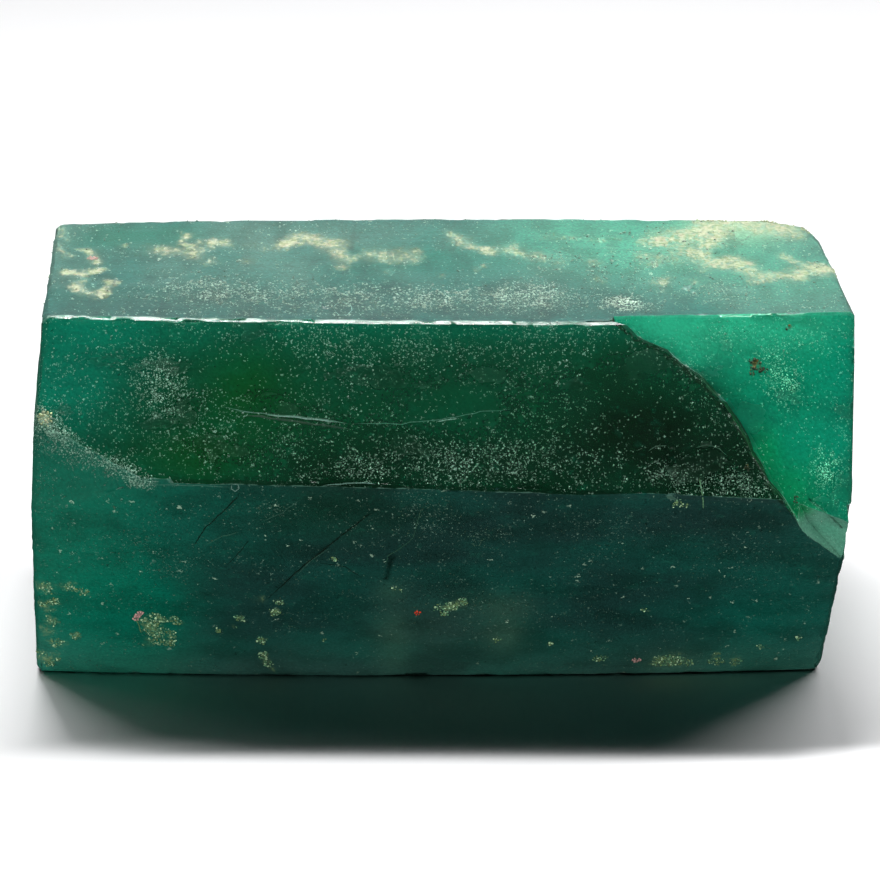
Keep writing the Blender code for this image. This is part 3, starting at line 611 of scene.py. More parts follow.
class Surface:
    """The fine surface: its points, its triangles, the parts they belong to and what marks each point."""

    def __init__(self, node):
        self.solid = Solid(node)
        self.points, self.triangles, self.regions = fine_surface(node, self.solid)
        self.flat = self.points.copy()
        self.measure()
        self.sharp_pairs, self.sharp = self.sharp_edges()
        self.wavy = self.flat + self.wander(1.6, 0.45, SEED + 60) + self.wander(0.6, 0.25, SEED + 70)
        self.bent = self.flat + self.wander(0.9, 0.08, SEED + 80)

    def wander(self, size, reach, seed):
        """Vectors that shift each point a little, so that what is drawn there has a natural outline."""
        return reach * np.column_stack([noise(self.flat, size, seed + axis) for axis in range(3)])

    def measure(self):
        corners = self.points[self.triangles]
        crossed = np.cross(corners[:, 1] - corners[:, 0], corners[:, 2] - corners[:, 0])
        self.areas = np.linalg.norm(crossed, axis=1) / 2
        self.face_normals = crossed / np.maximum(2 * self.areas, 1e-12)[:, None]
        total = np.zeros_like(self.points)
        for corner in range(3):
            np.add.at(total, self.triangles[:, corner], crossed)
        self.normals = total / np.maximum(np.linalg.norm(total, axis=1), 1e-12)[:, None]

    def sharp_edges(self):
        """The edges that stay sharp, as sorted pairs of points, and 1 at each point on one of them."""
        count = len(self.points)
        pairs = np.concatenate([self.triangles[:, sides] for sides in ([0, 1], [1, 2], [2, 0])])
        faces = np.tile(np.arange(len(self.triangles)), 3)
        keys = pairs.min(axis=1) * count + pairs.max(axis=1)
        order = np.argsort(keys, kind="stable")
        keys, faces = keys[order], faces[order]
        twins = np.flatnonzero(keys[1:] == keys[:-1])
        turns = np.sum(self.face_normals[faces[twins]] * self.face_normals[faces[twins + 1]], axis=1)
        sharp_keys = keys[twins[turns < math.cos(SHARP_ANGLE)]]
        on_sharp = np.zeros(count)
        on_sharp[sharp_keys // count] = 1
        on_sharp[sharp_keys % count] = 1
        return sharp_keys, on_sharp

    def share_in(self, region):
        """How much of each point's surroundings lies in a part of the crystal."""
        inside = self.regions == region
        total, share = np.zeros(len(self.points)), np.zeros(len(self.points))
        for corner in range(3):
            np.add.at(total, self.triangles[:, corner], 1)
            np.add.at(share, self.triangles[:, corner], inside)
        return share / np.maximum(total, 1)

    def distance_to(self, parts):
        """How far each point is from the nearest triangle of some parts, in mm."""
        centres = self.flat[self.triangles[np.isin(self.regions, parts)]].mean(axis=1)
        tree = KDTree(len(centres))
        for index, centre in enumerate(centres):
            tree.insert(centre, index)
        tree.balance()
        return np.array([tree.find(point)[2] for point in self.flat])

    def at(self, pixel):
        return np.array(self.solid.at_pixel(pixel))

    def line(self, pixels):
        return [self.at(pixel) for pixel in pixels]

    def near_line(self, pixels, width, drawn_on):
        """1 on a line through pixels, falling to 0 at its width away from it."""
        nearest = np.full(len(self.flat), np.inf)
        places = self.line(pixels)
        scale = depth_scale(places[0])
        for start, end in zip(places, places[1:]):
            nearest = np.minimum(nearest, segment_distance(drawn_on * scale, start * scale, end * scale))
        return np.clip(1 - nearest / width, 0, 1)

    def near_lines(self, lines, spread, drawn_on):
        """The strongest of some lines at each point, each drawn wider by the spread."""
        return self.strongest(self.near_line(pixels, width * spread, drawn_on) * strength
                              for pixels, width, strength in lines)

    def near_spots(self, spots, spread):
        """The strongest of some spots at each point, each drawn wider by the spread."""
        return self.strongest(self.near_spot((x, y), radius * spread) * strength
                              for x, y, radius, strength in spots)

    def strongest(self, layers):
        total = np.zeros(len(self.flat))
        for layer in layers:
            total = np.maximum(total, layer)
        return total

    def near_spot(self, pixel, radius):
        place = self.at(pixel)
        away = (self.wavy - place) * depth_scale(place)
        return np.clip(1 - np.linalg.norm(away, axis=1) / radius, 0, 1)

    def patch(self, x, y, along, across):
        """A soft patch around a pixel, reaching so far along the crystal and across it."""
        away = self.flat - self.at((x, y))
        aside = np.hypot(away[:, 1], away[:, 2])
        return np.exp(-((away[:, 0] / along) ** 2) - (aside / across) ** 2)


def add_colours(surface):
    """The corner colours: each part's own colour, clouded and with its patches. Some patches and the
    fracture's colour are painted glow, and the lower front is painted lighter towards the bottom.
    """
    clouds = layered_noise(surface.flat, CLOUD_SIZE, 3, SEED)
    top_clouds = layered_noise(surface.flat, TOP_CLOUD_SIZE, 3, SEED + 5)
    ragged = layered_noise(surface.flat, RAGGED_SIZE, 2, SEED + 10) * RAGGEDNESS
    colours = np.zeros((len(surface.triangles), 3, 3))
    for region, part in PARTS.items():
        here = surface.regions == region
        share = smooth_step(top_clouds if region == "top" else clouds, *CLOUD_LEVELS)[:, None]
        painted = PALETTE[part.ground] * (1 - share * CLOUDINESS) + PALETTE[part.clouds] * share * CLOUDINESS
        for *place, name, strength in PATCHES.get(region, []):
            weight = np.clip(surface.patch(*place) * (1 + ragged), 0, 1)[:, None] * strength
            painted = painted * (1 - weight) + PALETTE[name] * weight
        light = part.light
        # The lower front is painted lighter towards the bottom, undoing its shade there.
        if region == "lower_front":
            light = np.interp(surface.flat[:, 2], LOWER_LIGHT_HEIGHTS, LOWER_LIGHT)[:, None]
        painted = np.maximum(painted - part.gloss, DARKEST) / light
        colours[here] = painted[surface.triangles[here]]
    surface.colours = colours.reshape(-1, 3)


def dust_on(surface, shares, rough, broad):
    """How thick the dust lies at each point."""
    dust = np.zeros(len(surface.flat))
    for region, part in PARTS.items():
        dust += shares[region] * part.dust * np.clip(1 + 0.9 * broad, 0, 3)
    for region, patches in DUST.items():
        for *place, strength in patches:
            dust = np.maximum(dust, shares[region] * strength * surface.patch(*place) * (1 + 0.35 * broad))
    for region, patches in BARE.items():
        for *place, strength in patches:
            dust *= 1 - shares[region] * strength * surface.patch(*place)
    dust = np.maximum(dust, surface.near_lines(DUST_LINES, DUST_SPREAD, surface.wavy))
    return np.clip(dust * (1 + 0.3 * rough), 0, None)


def crust_on(surface, shares):
    """How thick the crust is at each point. The sides hidden in the photograph have scattered clumps."""
    crust = surface.near_lines(CRUST_LINES, CRUST_LINE_SPREAD, surface.wavy)
    crust = np.maximum(crust, surface.near_spots(CRUST_SPOTS, CRUST_SPREAD))
    broken_up = smooth_step(layered_noise(surface.flat, GAP_SIZE, 2, SEED + 41), *GAP_LEVELS)
    crust *= 1 - shares["upper_back"] * broken_up
    grown = smooth_step(layered_noise(surface.flat, CLUMP_SIZE, 3, SEED + 40), *CLUMP_LEVELS)
    for region in HIDDEN_PARTS:
        crust = np.maximum(crust, shares[region] * grown * CLUMP_THICKNESS)
    return np.clip(crust, 0, 1)


def add_marks(surface):
    """What lies on the crystal, where it is broken and where shade is painted, as a number from 0 to 1 at each
    point.
    """
    rough = layered_noise(surface.flat, ROUGH_SIZE, 3, SEED + 20)
    broad = layered_noise(surface.flat, BROAD_SIZE, 2, SEED + 30)
    shares = {region: surface.share_in(region) for region in PARTS}
    surface.heaped = dust_on(surface, shares, rough, broad)
    rust = surface.near_spots(RUST_SPOTS, GRAIN_SPREAD)
    dark = surface.near_lines(DARK_LINES, DARK_SPREAD, surface.bent)
    splinter_line = surface.near_line(SPLINTER_LINE, SPLINTER_LINE_WIDTH, surface.flat)
    on_border = np.max(list(shares.values()), axis=0) < 1
    surface.marks = {
        "dust": np.minimum(surface.heaped, 1),
        "crust": crust_on(surface, shares),
        "rust": np.clip(rust * (1 + 0.5 * rough), 0, 1),
        "pink": surface.near_spots(PINK_SPOTS, GRAIN_SPREAD),
        "red": surface.near_spots(RED_SPOTS, GRAIN_SPREAD),
        "dark": np.maximum(dark, splinter_line * SPLINTER_LINE_STRENGTH),
        "seam": surface.near_line(SEAM, SEAM_WIDTH, surface.flat),
        "shade": surface.near_line(SEAM[SHADE_FROM:], SHADE_WIDTH, surface.bent),
        "edge": surface.sharp * on_border * (shares["wall"] == 0),
        # Painted shade in a band round the ends.
        "rim": np.clip(1 - surface.distance_to(("left_end", "right_end")) / RIM_SHADE_WIDTH, 0, 1),
        "broken": np.clip(shares["fracture"] + shares["splinter"] + shares["wall"], 0, 1),
        "lower": np.clip(shares["lower_front"] + shares["lower_back"] + shares["bottom"], 0, 1),
        "flat_top": shares["top"],
        "ends": np.clip(shares["left_end"] + shares["right_end"], 0, 1),
        "wall": shares["wall"],
    }


# How far the surface is pressed in or raised, in mm.
UNDULATION, UNDULATION_SIZE = 0.03, (9.0, 3.5, 3.5)
GRAIN, GRAIN_SIZE = 0.005, 0.45
GROOVES, GROOVE_SIZE = 0.006, (9.0, 0.42, 0.42)
RIPPLE, RIPPLE_LENGTH, RIPPLE_HEART = 0.012, 1.1, (860, 250)
END_RELIEF, END_RELIEF_SIZE = 0.05, 1.4
EDGE_WEAR, EDGE_WEAR_SIZE = 0.07, (1.1, 0.7, 0.7)
CRUST_RAISED, LINE_DEPTH, FLOOR_CLEAR = 0.05, 0.05, 0.3


def press(surface):
    """Displaces the surface along its normals: wear, grooves, ripples, crust, and the dark lines of cracks and
    painted shadows.
    """
    flat, marks = surface.flat, surface.marks
    raised = UNDULATION * layered_noise(flat, UNDULATION_SIZE, 2, SEED + 50)
    raised += GRAIN * layered_noise(flat, GRAIN_SIZE, 2, SEED + 51)
    prism = 1 - np.clip(marks["broken"] + marks["ends"], 0, 1)
    raised += prism * GROOVES * layered_noise(flat, GROOVE_SIZE, 2, SEED + 52)
    raised += marks["ends"] * END_RELIEF * layered_noise(flat, END_RELIEF_SIZE, 3, SEED + 53)

    heart = surface.at(RIPPLE_HEART)
    away = np.linalg.norm(flat - heart, axis=1) + 0.5 * noise(flat, 2.5, SEED + 54)
    ripple = np.sin(away * 2 * math.pi / RIPPLE_LENGTH) * (0.5 + 0.5 * noise(flat, 3.0, SEED + 55))
    raised += marks["broken"] * RIPPLE * ripple

    worn = np.clip(0.35 + layered_noise(flat, EDGE_WEAR_SIZE, 3, SEED + 56), 0, 1.3)
    raised -= surface.sharp * EDGE_WEAR * worn
    raised += CRUST_RAISED * marks["crust"] * (0.6 + 0.8 * noise(flat, 0.3, SEED + 57))
    raised -= LINE_DEPTH * marks["dark"]
    raised = np.where(flat[:, 2] < FLOOR_CLEAR, np.minimum(raised, 0), raised)
    surface.points = flat + surface.normals * raised[:, None]
    surface.points[:, 2] = np.maximum(surface.points[:, 2], 0)
    surface.measure()


# ---------------------------------------------------------------- meshes


def make_object(name, points, triangles, material):
    """A mesh object from points in mm and triangles."""
    mesh = bpy.data.meshes.new(name)
    mesh.vertices.add(len(points))
    mesh.vertices.foreach_set("co", (np.asarray(points) * MM).astype(np.float32).ravel())
    mesh.loops.add(len(triangles) * 3)
    mesh.loops.foreach_set("vertex_index", np.asarray(triangles, np.int32).ravel())
    mesh.polygons.add(len(triangles))
    mesh.polygons.foreach_set("loop_start", np.arange(0, len(triangles) * 3, 3, dtype=np.int32))
    mesh.update(calc_edges=True)
    mesh.validate()
    mesh.materials.append(material)
    piece = bpy.data.objects.new(name, mesh)
    bpy.context.scene.collection.objects.link(piece)
    return piece


def set_attribute(mesh, name, kind, domain, values):
    attribute = mesh.attributes.new(name, kind, domain)
    field = "color" if kind == "FLOAT_COLOR" else "value"
    attribute.data.foreach_set(field, np.asarray(values).ravel())


def with_alpha(colours):
    return np.column_stack([colours, np.ones(len(colours))]).astype(np.float32)


def keep_sharp(mesh, surface):
    pairs = np.zeros(len(mesh.edges) * 2, np.int32)
    mesh.edges.foreach_get("vertices", pairs)
    pairs = pairs.reshape(-1, 2).astype(np.int64)
    keys = pairs.min(axis=1) * len(surface.points) + pairs.max(axis=1)
    set_attribute(mesh, "sharp_edge", "BOOLEAN", "EDGE", np.isin(keys, surface.sharp_pairs))


def make_crystal(surface, material):
    piece = make_object("raw_emerald", surface.points, surface.triangles, material)
    mesh = piece.data
    for name, values in surface.marks.items():
        set_attribute(mesh, name, "FLOAT", "POINT", values.astype(np.float32))
    set_attribute(mesh, "tint", "FLOAT_COLOR", "CORNER", with_alpha(surface.colours))
    mesh.polygons.foreach_set("use_smooth", np.ones(len(mesh.polygons), bool))
    keep_sharp(mesh, surface)
    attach(piece, BODY)
    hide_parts(NODE)
    return piece


# ---------------------------------------------------------------- materials


class Nodes:
    """Builds the nodes of a material or a world, each fed by values or by other nodes."""

    def __init__(self, tree):
        self.tree = tree

    def feed(self, socket, value):
        if isinstance(value, bpy.types.NodeSocket):
            self.tree.links.new(value, socket)
        else:
            socket.default_value = value

    def node(self, kind, inputs, **settings):
        node = self.tree.nodes.new("ShaderNode" + kind)
        for name, value in settings.items():
            setattr(node, name, value)
        for name, value in inputs.items():
            self.feed(node.inputs[name], value)
        return node

    def math(self, operation, *values):
        return self.node("Math", dict(enumerate(values)), operation=operation).outputs[0]

    def times(self, first, second):
        return self.math("MULTIPLY", first, second)

    def times_plus(self, first, second, third):
        return self.math("MULTIPLY_ADD", first, second, third)

    def blend(self, share, below, above):
        """A number between two others."""
        return self.node("Mix", {0: share, 2: below, 3: above}).outputs[0]

    def mix(self, share, below, above, blend="MIX"):
        """A colour between two others."""
        node = self.node("Mix", {0: share, 6: below, 7: above}, data_type="RGBA", blend_type=blend)
        return node.outputs[2]

    def slide(self, value, low, high, first=0.0, last=1.0, kind="LINEAR"):
        """The first number where the value is low and the last where it is high."""
        inputs = {"Value": value, "From Min": low, "From Max": high, "To Min": first, "To Max": last}
        return self.node("MapRange", inputs, interpolation_type=kind).outputs[0]

    def rise(self, value, low, high):
        """0 below low and 1 above high, with a smooth step between them."""
        return self.slide(value, low, high, kind="SMOOTHSTEP")


class Shader(Nodes):
    """A new material, whose textures are placed in mm."""

    def __init__(self, name):
        self.material = bpy.data.materials.new(name)
        self.material.use_nodes = True
        super().__init__(self.material.node_tree)
        self.surface = self.tree.nodes["Principled BSDF"]
        place = self.node("TexCoord", {}).outputs["Object"]
        in_mm = self.node("VectorMath", {0: place, 1: (1 / MM,) * 3}, operation="MULTIPLY")
        self.place = in_mm.outputs[0]

    def attribute(self, name, output="Fac"):
        return self.node("Attribute", {}, attribute_name=name).outputs[output]

    def stretched(self, stretch):
        return self.node("VectorMath", {0: self.place, 1: stretch}, operation="MULTIPLY").outputs[0]

    def noise(self, size, detail, stretch=None):
        place = self.stretched(stretch) if stretch else self.place
        inputs = {"Vector": place, "Scale": 1 / size, "Detail": detail}
        return self.node("TexNoise", inputs).outputs[0]

    def flecks(self, size, density, place):
        """Scattered specks about as large as size, in the share of the places that density gives."""
        wobble = self.node("TexNoise", {"Vector": place, "Scale": 1.3 / size, "Detail": 1.0})
        inputs = {0: wobble.outputs[1], 1: (size * 2.6,) * 3, 2: place}
        moved = self.node("VectorMath", inputs, operation="MULTIPLY_ADD").outputs[0]
        cells = self.node("TexVoronoi", {"Vector": moved, "Scale": 1 / (size * 1.7)})
        chance = self.node("SeparateColor", {0: cells.outputs["Color"]})
        shown = self.math("LESS_THAN", chance.outputs[0], density)
        disc = self.rise(cells.outputs["Distance"], *FLECK_EDGE)
        return self.times(disc, shown), chance.outputs[1]


# The light that the shaders' own colours are made for, and where a speck's rim lies in its cell.
SHADER_LIGHT = 1.5
FLECK_EDGE = (0.36, 0.22)
BERYL_IOR = 1.58
SHADER_MARKS = ("dust", "crust", "rust", "pink", "dark", "seam", "shade", "rim", "edge", "broken", "lower",
                "flat_top", "ends", "wall")


def colour(name, scale=1.0):
    return (*(float(value) * scale / SHADER_LIGHT for value in PALETTE[name]), 1.0)


def emerald_material():
    shader = Shader("emerald")
    mix, rise, noise = shader.mix, shader.rise, shader.noise
    times, times_plus = shader.times, shader.times_plus
    marks = {name: shader.attribute(name) for name in SHADER_MARKS}
    top = marks["flat_top"]

    # Cloudy depth in the body's own colour.
    along, across = noise(2.2, 4.0, (0.6, 1, 1)), noise(1.8, 4.0, (1.2, 0.45, 1))
    clouds = times_plus(shader.math("SUBTRACT", across, along), top, along)
    veils, streaks, mottle = noise(0.55, 3.0, (0.8, 1, 1)), noise(0.35, 3.0, (0.06, 1, 1)), noise(0.16, 4.0)
    body = shader.attribute("tint", "Color")
    body = mix(times(rise(clouds, 0.42, 0.66), 0.3), body, colour("pine"))
    body = mix(times(rise(veils, 0.56, 0.75), 0.05), body, colour("bright_jade"))
    body = mix(times(rise(streaks, 0.5, 0.7), times_plus(top, -0.05, 0.05)), body, colour("pine"))
    shade = times_plus(shader.math("SUBTRACT", mottle, 0.5), times_plus(top, 1.3, 0.9), 1.0)
    body = mix(1.0, body, shade, "MULTIPLY")

    # Dark specks under the surface and dust on it, drawn deeper on the top, which is seen at a slant.
    squeeze = shader.node("CombineXYZ", {0: 1.0, 1: times_plus(top, -0.6, 1.0), 2: 1.0}).outputs[0]
    place = shader.stretched(squeeze)
    specks, _ = shader.flecks(0.16, 0.015, place)
    body = mix(times(specks, times_plus(top, -0.5, 0.6)), body, colour("pine", 0.5))
    density = times(marks["dust"], rise(noise(0.8, 3.0), 0.3, 0.6))
    fine, fine_tone = shader.flecks(0.07, times(density, 1.25), place)
    middle, middle_tone = shader.flecks(0.105, times(density, 0.4), place)
    large, _ = shader.flecks(0.16, times(density, 0.04), place)
    shown = shader.math("MAXIMUM", times(fine, times_plus(fine_tone, 0.6, 0.15)),
                        times(middle, times_plus(middle_tone, 0.7, 0.15)))
    shown = shader.math("MAXIMUM", shown, times(large, 0.6))
    pale_dust = mix(top, colour("green_dust"), colour("top_dust"))
    body = mix(shown, body, mix(marks["broken"], pale_dust, colour("fracture_dust")))
    dots, dots_tone = shader.flecks(0.2, times(marks["lower"], 0.02), place)
    body = mix(times(dots, times_plus(dots_tone, 0.5, 0.3)), body, colour("dots"))
    # Painted shade: a darker band round the ends.
    body = mix(times(marks["rim"], 0.45), body, colour("rim"))

    # Dark cracks and painted shadows along ridges, the fracture's border and the shade along it, worn edges.
    ragged = noise(0.25, 3.0)
    dark = rise(times_plus(ragged, 0.35, marks["dark"]), 0.62, 0.92)
    body = mix(times(dark, 0.75), body, colour("pine", 0.5))
    seam = rise(times_plus(ragged, 0.8, marks["seam"]), 1.12, 1.3)
    body = mix(times(seam, 0.85), body, colour("seam"))
    near_seam = times(rise(marks["shade"], 0.0, 1.0), marks["broken"])
    body = mix(times(near_seam, 0.55), body, colour("olive"))
    wear = rise(times_plus(noise(0.5, 3.0), 1.0, marks["edge"]), 1.32, 1.5)
    body = mix(times(wear, 0.3), body, colour("worn_edge"))

    # Crust of the mother rock, rust and pink grains.
    fuzz, blotch = noise(0.22, 4.0, squeeze), noise(0.75, 3.0, squeeze)
    cover = times_plus(fuzz, 1.6, times_plus(blotch, 1.4, marks["crust"]))
    crust = times(rise(cover, 1.68, 2.4), rise(marks["crust"], 0.02, 0.2))
    crust = times(crust, rise(noise(0.4, 3.0, squeeze), 0.32, 0.5))
    crust_colour = mix(rise(noise(0.3, 2.0), 0.4, 0.6), colour("pale_crust"), colour("crust"))
    crust_colour = mix(times(rise(noise(0.5, 2.0), 0.55, 0.7), 0.5), crust_colour, colour("pinkish_crust"))
    crust_colour = mix(marks["lower"], crust_colour, colour("lower_crust"))
    crust_colour = mix(1.0, crust_colour, mix(top, (1, 1, 1, 1), (0.7, 0.67, 0.76, 1)), "MULTIPLY")
    body = mix(times(rise(marks["crust"], 0.05, 0.9), 0.2), body, crust_colour)
    body = mix(times(crust, times_plus(marks["crust"], 0.5, 0.42)), body, crust_colour)
    rust = rise(times_plus(fuzz, 0.8, marks["rust"]), 0.72, 1.0)
    rust_colour = mix(rise(noise(0.14, 2.0), 0.42, 0.58), colour("rust"), colour("light_rust"))
    body = mix(times(rust, 0.9), body, rust_colour)
    body = mix(rise(marks["pink"], 0.2, 0.5), body, colour("pink_grain"))
    inputs = shader.surface.inputs
    shader.feed(inputs["Base Color"], body)

    # Gloss: glassy in front, satin below and on top, dull on crust, dust and the fracture's wall.
    gloss = times_plus(marks["lower"], 0.04, times_plus(top, 0.24, 0.2))
    gloss = times_plus(clouds, 0.12, times_plus(marks["ends"], 0.22, gloss))
    dull = shader.math("MAXIMUM", crust, rust)
    dull = shader.math("MAXIMUM", dull, shader.math("MAXIMUM", shown, marks["wall"]))
    shader.feed(inputs["Roughness"], times_plus(dull, 0.35, gloss))
    inputs["IOR"].default_value = BERYL_IOR
    shader.feed(inputs["Specular IOR Level"], times_plus(marks["wall"], -0.33, 0.35))

    # Relief: grain, lengthwise striations and the thickness of dust and crust.
    height = times_plus(mottle, 1.2, times(noise(0.12, 2.0), 0.25))
    height = times_plus(shown, 0.5, times_plus(streaks, 0.2, height))
    height = times_plus(times(crust, fuzz), 2.0, height)
    bump = shader.node("Bump", {"Strength": 0.6, "Distance": 0.03 * MM, "Height": height})
    shader.feed(inputs["Normal"], bump.outputs[0])
    return shader.material


# ---------------------------------------------------------------- flakes and grains

# Flat flakes of mica lie on the crystal as dust, and rounded grains of the mother rock make up the crust.
# Breadths and heights are shares of the radius, and the shades make some darker and some brighter.
FLAKES, FLAKE_RADIUS, FLAKE_CROWDING, FLAKE_SUNK = 22000, (0.026, 0.08), 2, 0.3
FLAKE_BREADTHS, FLAKE_HEIGHTS, FLAKE_SHADES = (0.3, 0.8), (0.3, 0.3), (0.35, 1.15)
# Flakes on the top are larger. Above this level, those on the left facet are as bright as the upper front's.
TOP_FLAKE_SCALE, FACET_LEVEL = (1.5, 1.9, 2.4), 14.8
GRAIN_SEEDS, GRAIN_SPACING, GRAIN_RADIUS, GRAIN_SUNK = 26000, 0.17, (0.04, 0.1), 0.4
GRAIN_CROWDING, GRAIN_BREADTHS, GRAIN_HEIGHTS, GRAIN_SHADES = 1.5, (0.7, 1), (0.45, 0.8), (0.7, 1.15)
# Grains lie where crust, rust or a spot is thicker than this, the coloured ones more densely. A grain takes
# the colour of a mark thicker than the last number.
CRUST_FROM, RUST_FROM, SPOT_FROM, COLOURED_DENSITY, COLOURED_FROM = 0.3, 0.35, 0.3, 3, 0.2
LUMPINESS = (0.72, 1.2)
MICA_ROUGHNESS, CRUST_ROUGHNESS, HAIRLINE_ROUGHNESS = 0.35, 0.7, 0.5
SPECKLE_COLOUR = (0.05, 0.08, 0.03, 1)
FLAKE_COLOURS = {
    "top": (205, 228, 208),
    "upper_front": (132, 174, 152),
    "fracture": (112, 212, 166),
    "splinter": (150, 190, 160),
    "lower_front": (86, 122, 98),
}
GRAIN_COLOURS = [(196, 210, 170), (180, 196, 148), (200, 196, 160), (172, 184, 134)]
LOWER_GRAIN_COLOURS = [(96, 140, 106), (76, 120, 88), (152, 184, 144), (98, 126, 82)]
RUST_COLOURS = [(26, 36, 12), (44, 56, 18), (34, 46, 14), (110, 96, 38)]
PINK_COLOUR, RED_COLOUR = (176, 140, 134), (190, 62, 40)
# The light that grains on the lower parts are coloured for.
LOWER_GRAIN_LIGHT = PARTS["lower_front"].light * 0.8


def octahedron():
    points = [(1, 0, 0), (0, 1, 0), (-1, 0, 0), (0, -1, 0), (0, 0, 1), (0, 0, -1)]
    triangles = []
    for i in range(4):
        triangles += [(i, (i + 1) % 4, 4), ((i + 1) % 4, i, 5)]
    return np.array(points, float), np.array(triangles)


def icosahedron():
    bm = bmesh.new()
    bmesh.ops.create_icosphere(bm, subdivisions=1, radius=1)
    points = np.array([tuple(vert.co) for vert in bm.verts])
    triangles = np.array([[vert.index for vert in face.verts] for face in bm.faces])
    bm.free()
    return points, triangles


def turned_to(normals, turns):
    """Rotation matrices whose third axis is each normal, turned about it."""
    side = np.where(np.abs(normals[:, :1]) < 0.9, [[1.0, 0, 0]], [[0, 1.0, 0]])
    first = np.cross(side, normals)
    first /= np.linalg.norm(first, axis=1)[:, None]
    second = np.cross(normals, first)
    cosine, sine = np.cos(turns)[:, None], np.sin(turns)[:, None]
    return np.stack([first * cosine + second * sine, second * cosine - first * sine, normals], axis=2)


def tinted_piece(name, points, triangles, colours, material):
    """A piece of its own, with a colour at each point."""
    piece = make_object(name, points, triangles, material)
    set_attribute(piece.data, "tint", "FLOAT_COLOR", "POINT", with_alpha(colours))
    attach(piece, BODY)
    return piece


def scatter(name, shape, places, normals, sizes, sunk, colours, draws, material):
    """One mesh of many small copies of a shape, each turned, stretched and roughened in its own way."""
    base, triangles = shape
    count = len(places)
    turns = turned_to(normals, draws.uniform(0, 2 * math.pi, count))
    local = base[None] * sizes[:, None, :] * draws.uniform(*LUMPINESS, (count, len(base), 1))
    local[:, :, 2] += sizes[:, None, 2] * (1 - 2 * sunk)
    points = places[:, None, :] + np.einsum("nij,nkj->nki", turns, local)
    joined = (triangles[None] + (np.arange(count) * len(base))[:, None, None]).reshape(-1, 3)
    points = points.reshape(-1, 3)
    points[:, 2] = np.maximum(points[:, 2], 0)
    return tinted_piece(name, points, joined, np.repeat(colours, len(base), axis=0), material)


def on_surface(surface, weights, count, draws):
    """Random places on the surface, more where the weights at its points are high."""
    chance = surface.areas * weights[surface.triangles].mean(axis=1)
    chosen = draws.choice(len(chance), count, p=chance / chance.sum())
    shares = draws.dirichlet((1, 1, 1), count)
    places = np.einsum("nk,nkj->nj", shares, surface.points[surface.triangles[chosen]])
    return chosen, places


def random_sizes(draws, count, limits, crowding, breadths, heights):
    """Sizes in mm along three axes, most of them near the lower limit."""
    radii = limits[0] + draws.uniform(0, 1, count) ** crowding * (limits[1] - limits[0])
    across, upwards = draws.uniform(*breadths, count), draws.uniform(*heights, count)
    return np.column_stack([radii, radii * across, radii * upwards])


def add_flakes(surface):
    draws = np.random.default_rng(SEED)
    clear = surface.flat[:, 2] > FLOOR_CLEAR
    weights = surface.heaped**1.3 * clear * np.clip(1 + noise(surface.flat, 0.5, SEED + 90), 0, 2)
    chosen, places = on_surface(surface, weights, FLAKES, draws)
    sizes = random_sizes(draws, FLAKES, FLAKE_RADIUS, FLAKE_CROWDING, FLAKE_BREADTHS, FLAKE_HEIGHTS)
    regions = surface.regions[chosen]
    on_top = regions == "top"
    sizes[on_top] *= TOP_FLAKE_SCALE
    regions = np.where((regions == "lower_front") & (places[:, 2] > FACET_LEVEL), "upper_front", regions)
    tones = {region: FLAKE_COLOURS.get(region, FLAKE_COLOURS["upper_front"]) for region in PARTS}
    colours = np.array([paint(*tones[region]) for region in regions])
    light = np.array([PARTS[region].light for region in regions])[:, None]
    thick = surface.heaped[surface.triangles[chosen, 0]][:, None]
    shades = draws.uniform(*FLAKE_SHADES, (FLAKES, 1)) * np.clip(0.7 + 0.4 * thick, 0.8, 1.7)
    colours = colours * shades / light
    normals = surface.face_normals[chosen]
    material = grain_material("mica", MICA_ROUGHNESS)
    return scatter("mica_flecks", octahedron(), places, normals, sizes, FLAKE_SUNK, colours, draws, material)


def hairline(tree, places, width, draws):
    """A thin ridge along a line over the surface, narrow at both of its ends: its points and triangles."""
    steps = [start.lerp(end, i / count) for start, end in zip(places, places[1:])
             for count in [max(2, round((end - start).length / RIBBON_STEP))] for i in range(count)]
    line = np.array([tuple(step) for step in steps])
    line += FLUTTER * np.column_stack([noise(line, 0.5, SEED + 95 + axis) for axis in range(3)])
    on_skin = [tree.find_nearest(place)[:2] for place in line]
    middles = np.array([tuple(place) for place, _ in on_skin])
    ups = np.array([tuple(normal) for _, normal in on_skin])
    along = np.gradient(middles, axis=0)
    across = np.cross(ups, along)
    across /= np.maximum(np.linalg.norm(across, axis=1), 1e-9)[:, None]
    part = np.linspace(0, 1, len(line))
    narrowed = np.clip(np.minimum(part, 1 - part) * RIBBON_TAPER, RIBBON_TIP, 1)
    breadth = width / 2 * narrowed * draws.uniform(*RIBBON_UNEVEN, len(line))
    side = across * breadth[:, None]
    lift = ups * RIBBON_LIFT
    rows = np.stack([middles + side, middles + lift * 2, middles - side], axis=1) + lift[:, None] * 0.5
    start = np.arange(len(line) - 1)[:, None] * 3
    triangles = np.concatenate([start + corners for corners in ((0, 1, 3), (1, 4, 3), (1, 2, 4), (2, 5, 4))])
    return rows.reshape(-1, 3), triangles


def add_hairlines(surface):
    """Fine ledges, scratches and healed cracks, with painted highlights and shadows along some, drawn as thin
    ridges.
    """
    draws = np.random.default_rng(SEED + 2)
    skin = BVHTree.FromPolygons(surface.points.tolist(), surface.triangles.tolist())
    points, triangles, tints = [], [], []
    for pixels, width, tone in HAIRLINES:
        places = [Vector(place) for place in surface.line(pixels)]
        rows, cells = hairline(skin, places, width, draws)
        triangles.append(cells + sum(len(each) for each in points))
        points.append(rows)
        tints.append(np.tile(paint(*tone) / SHADER_LIGHT, (len(rows), 1)))
    rows, cells, colours = (np.concatenate(each) for each in (points, triangles, tints))
    return tinted_piece("hairlines", rows, cells, colours, grain_material("hairline", HAIRLINE_ROUGHNESS))


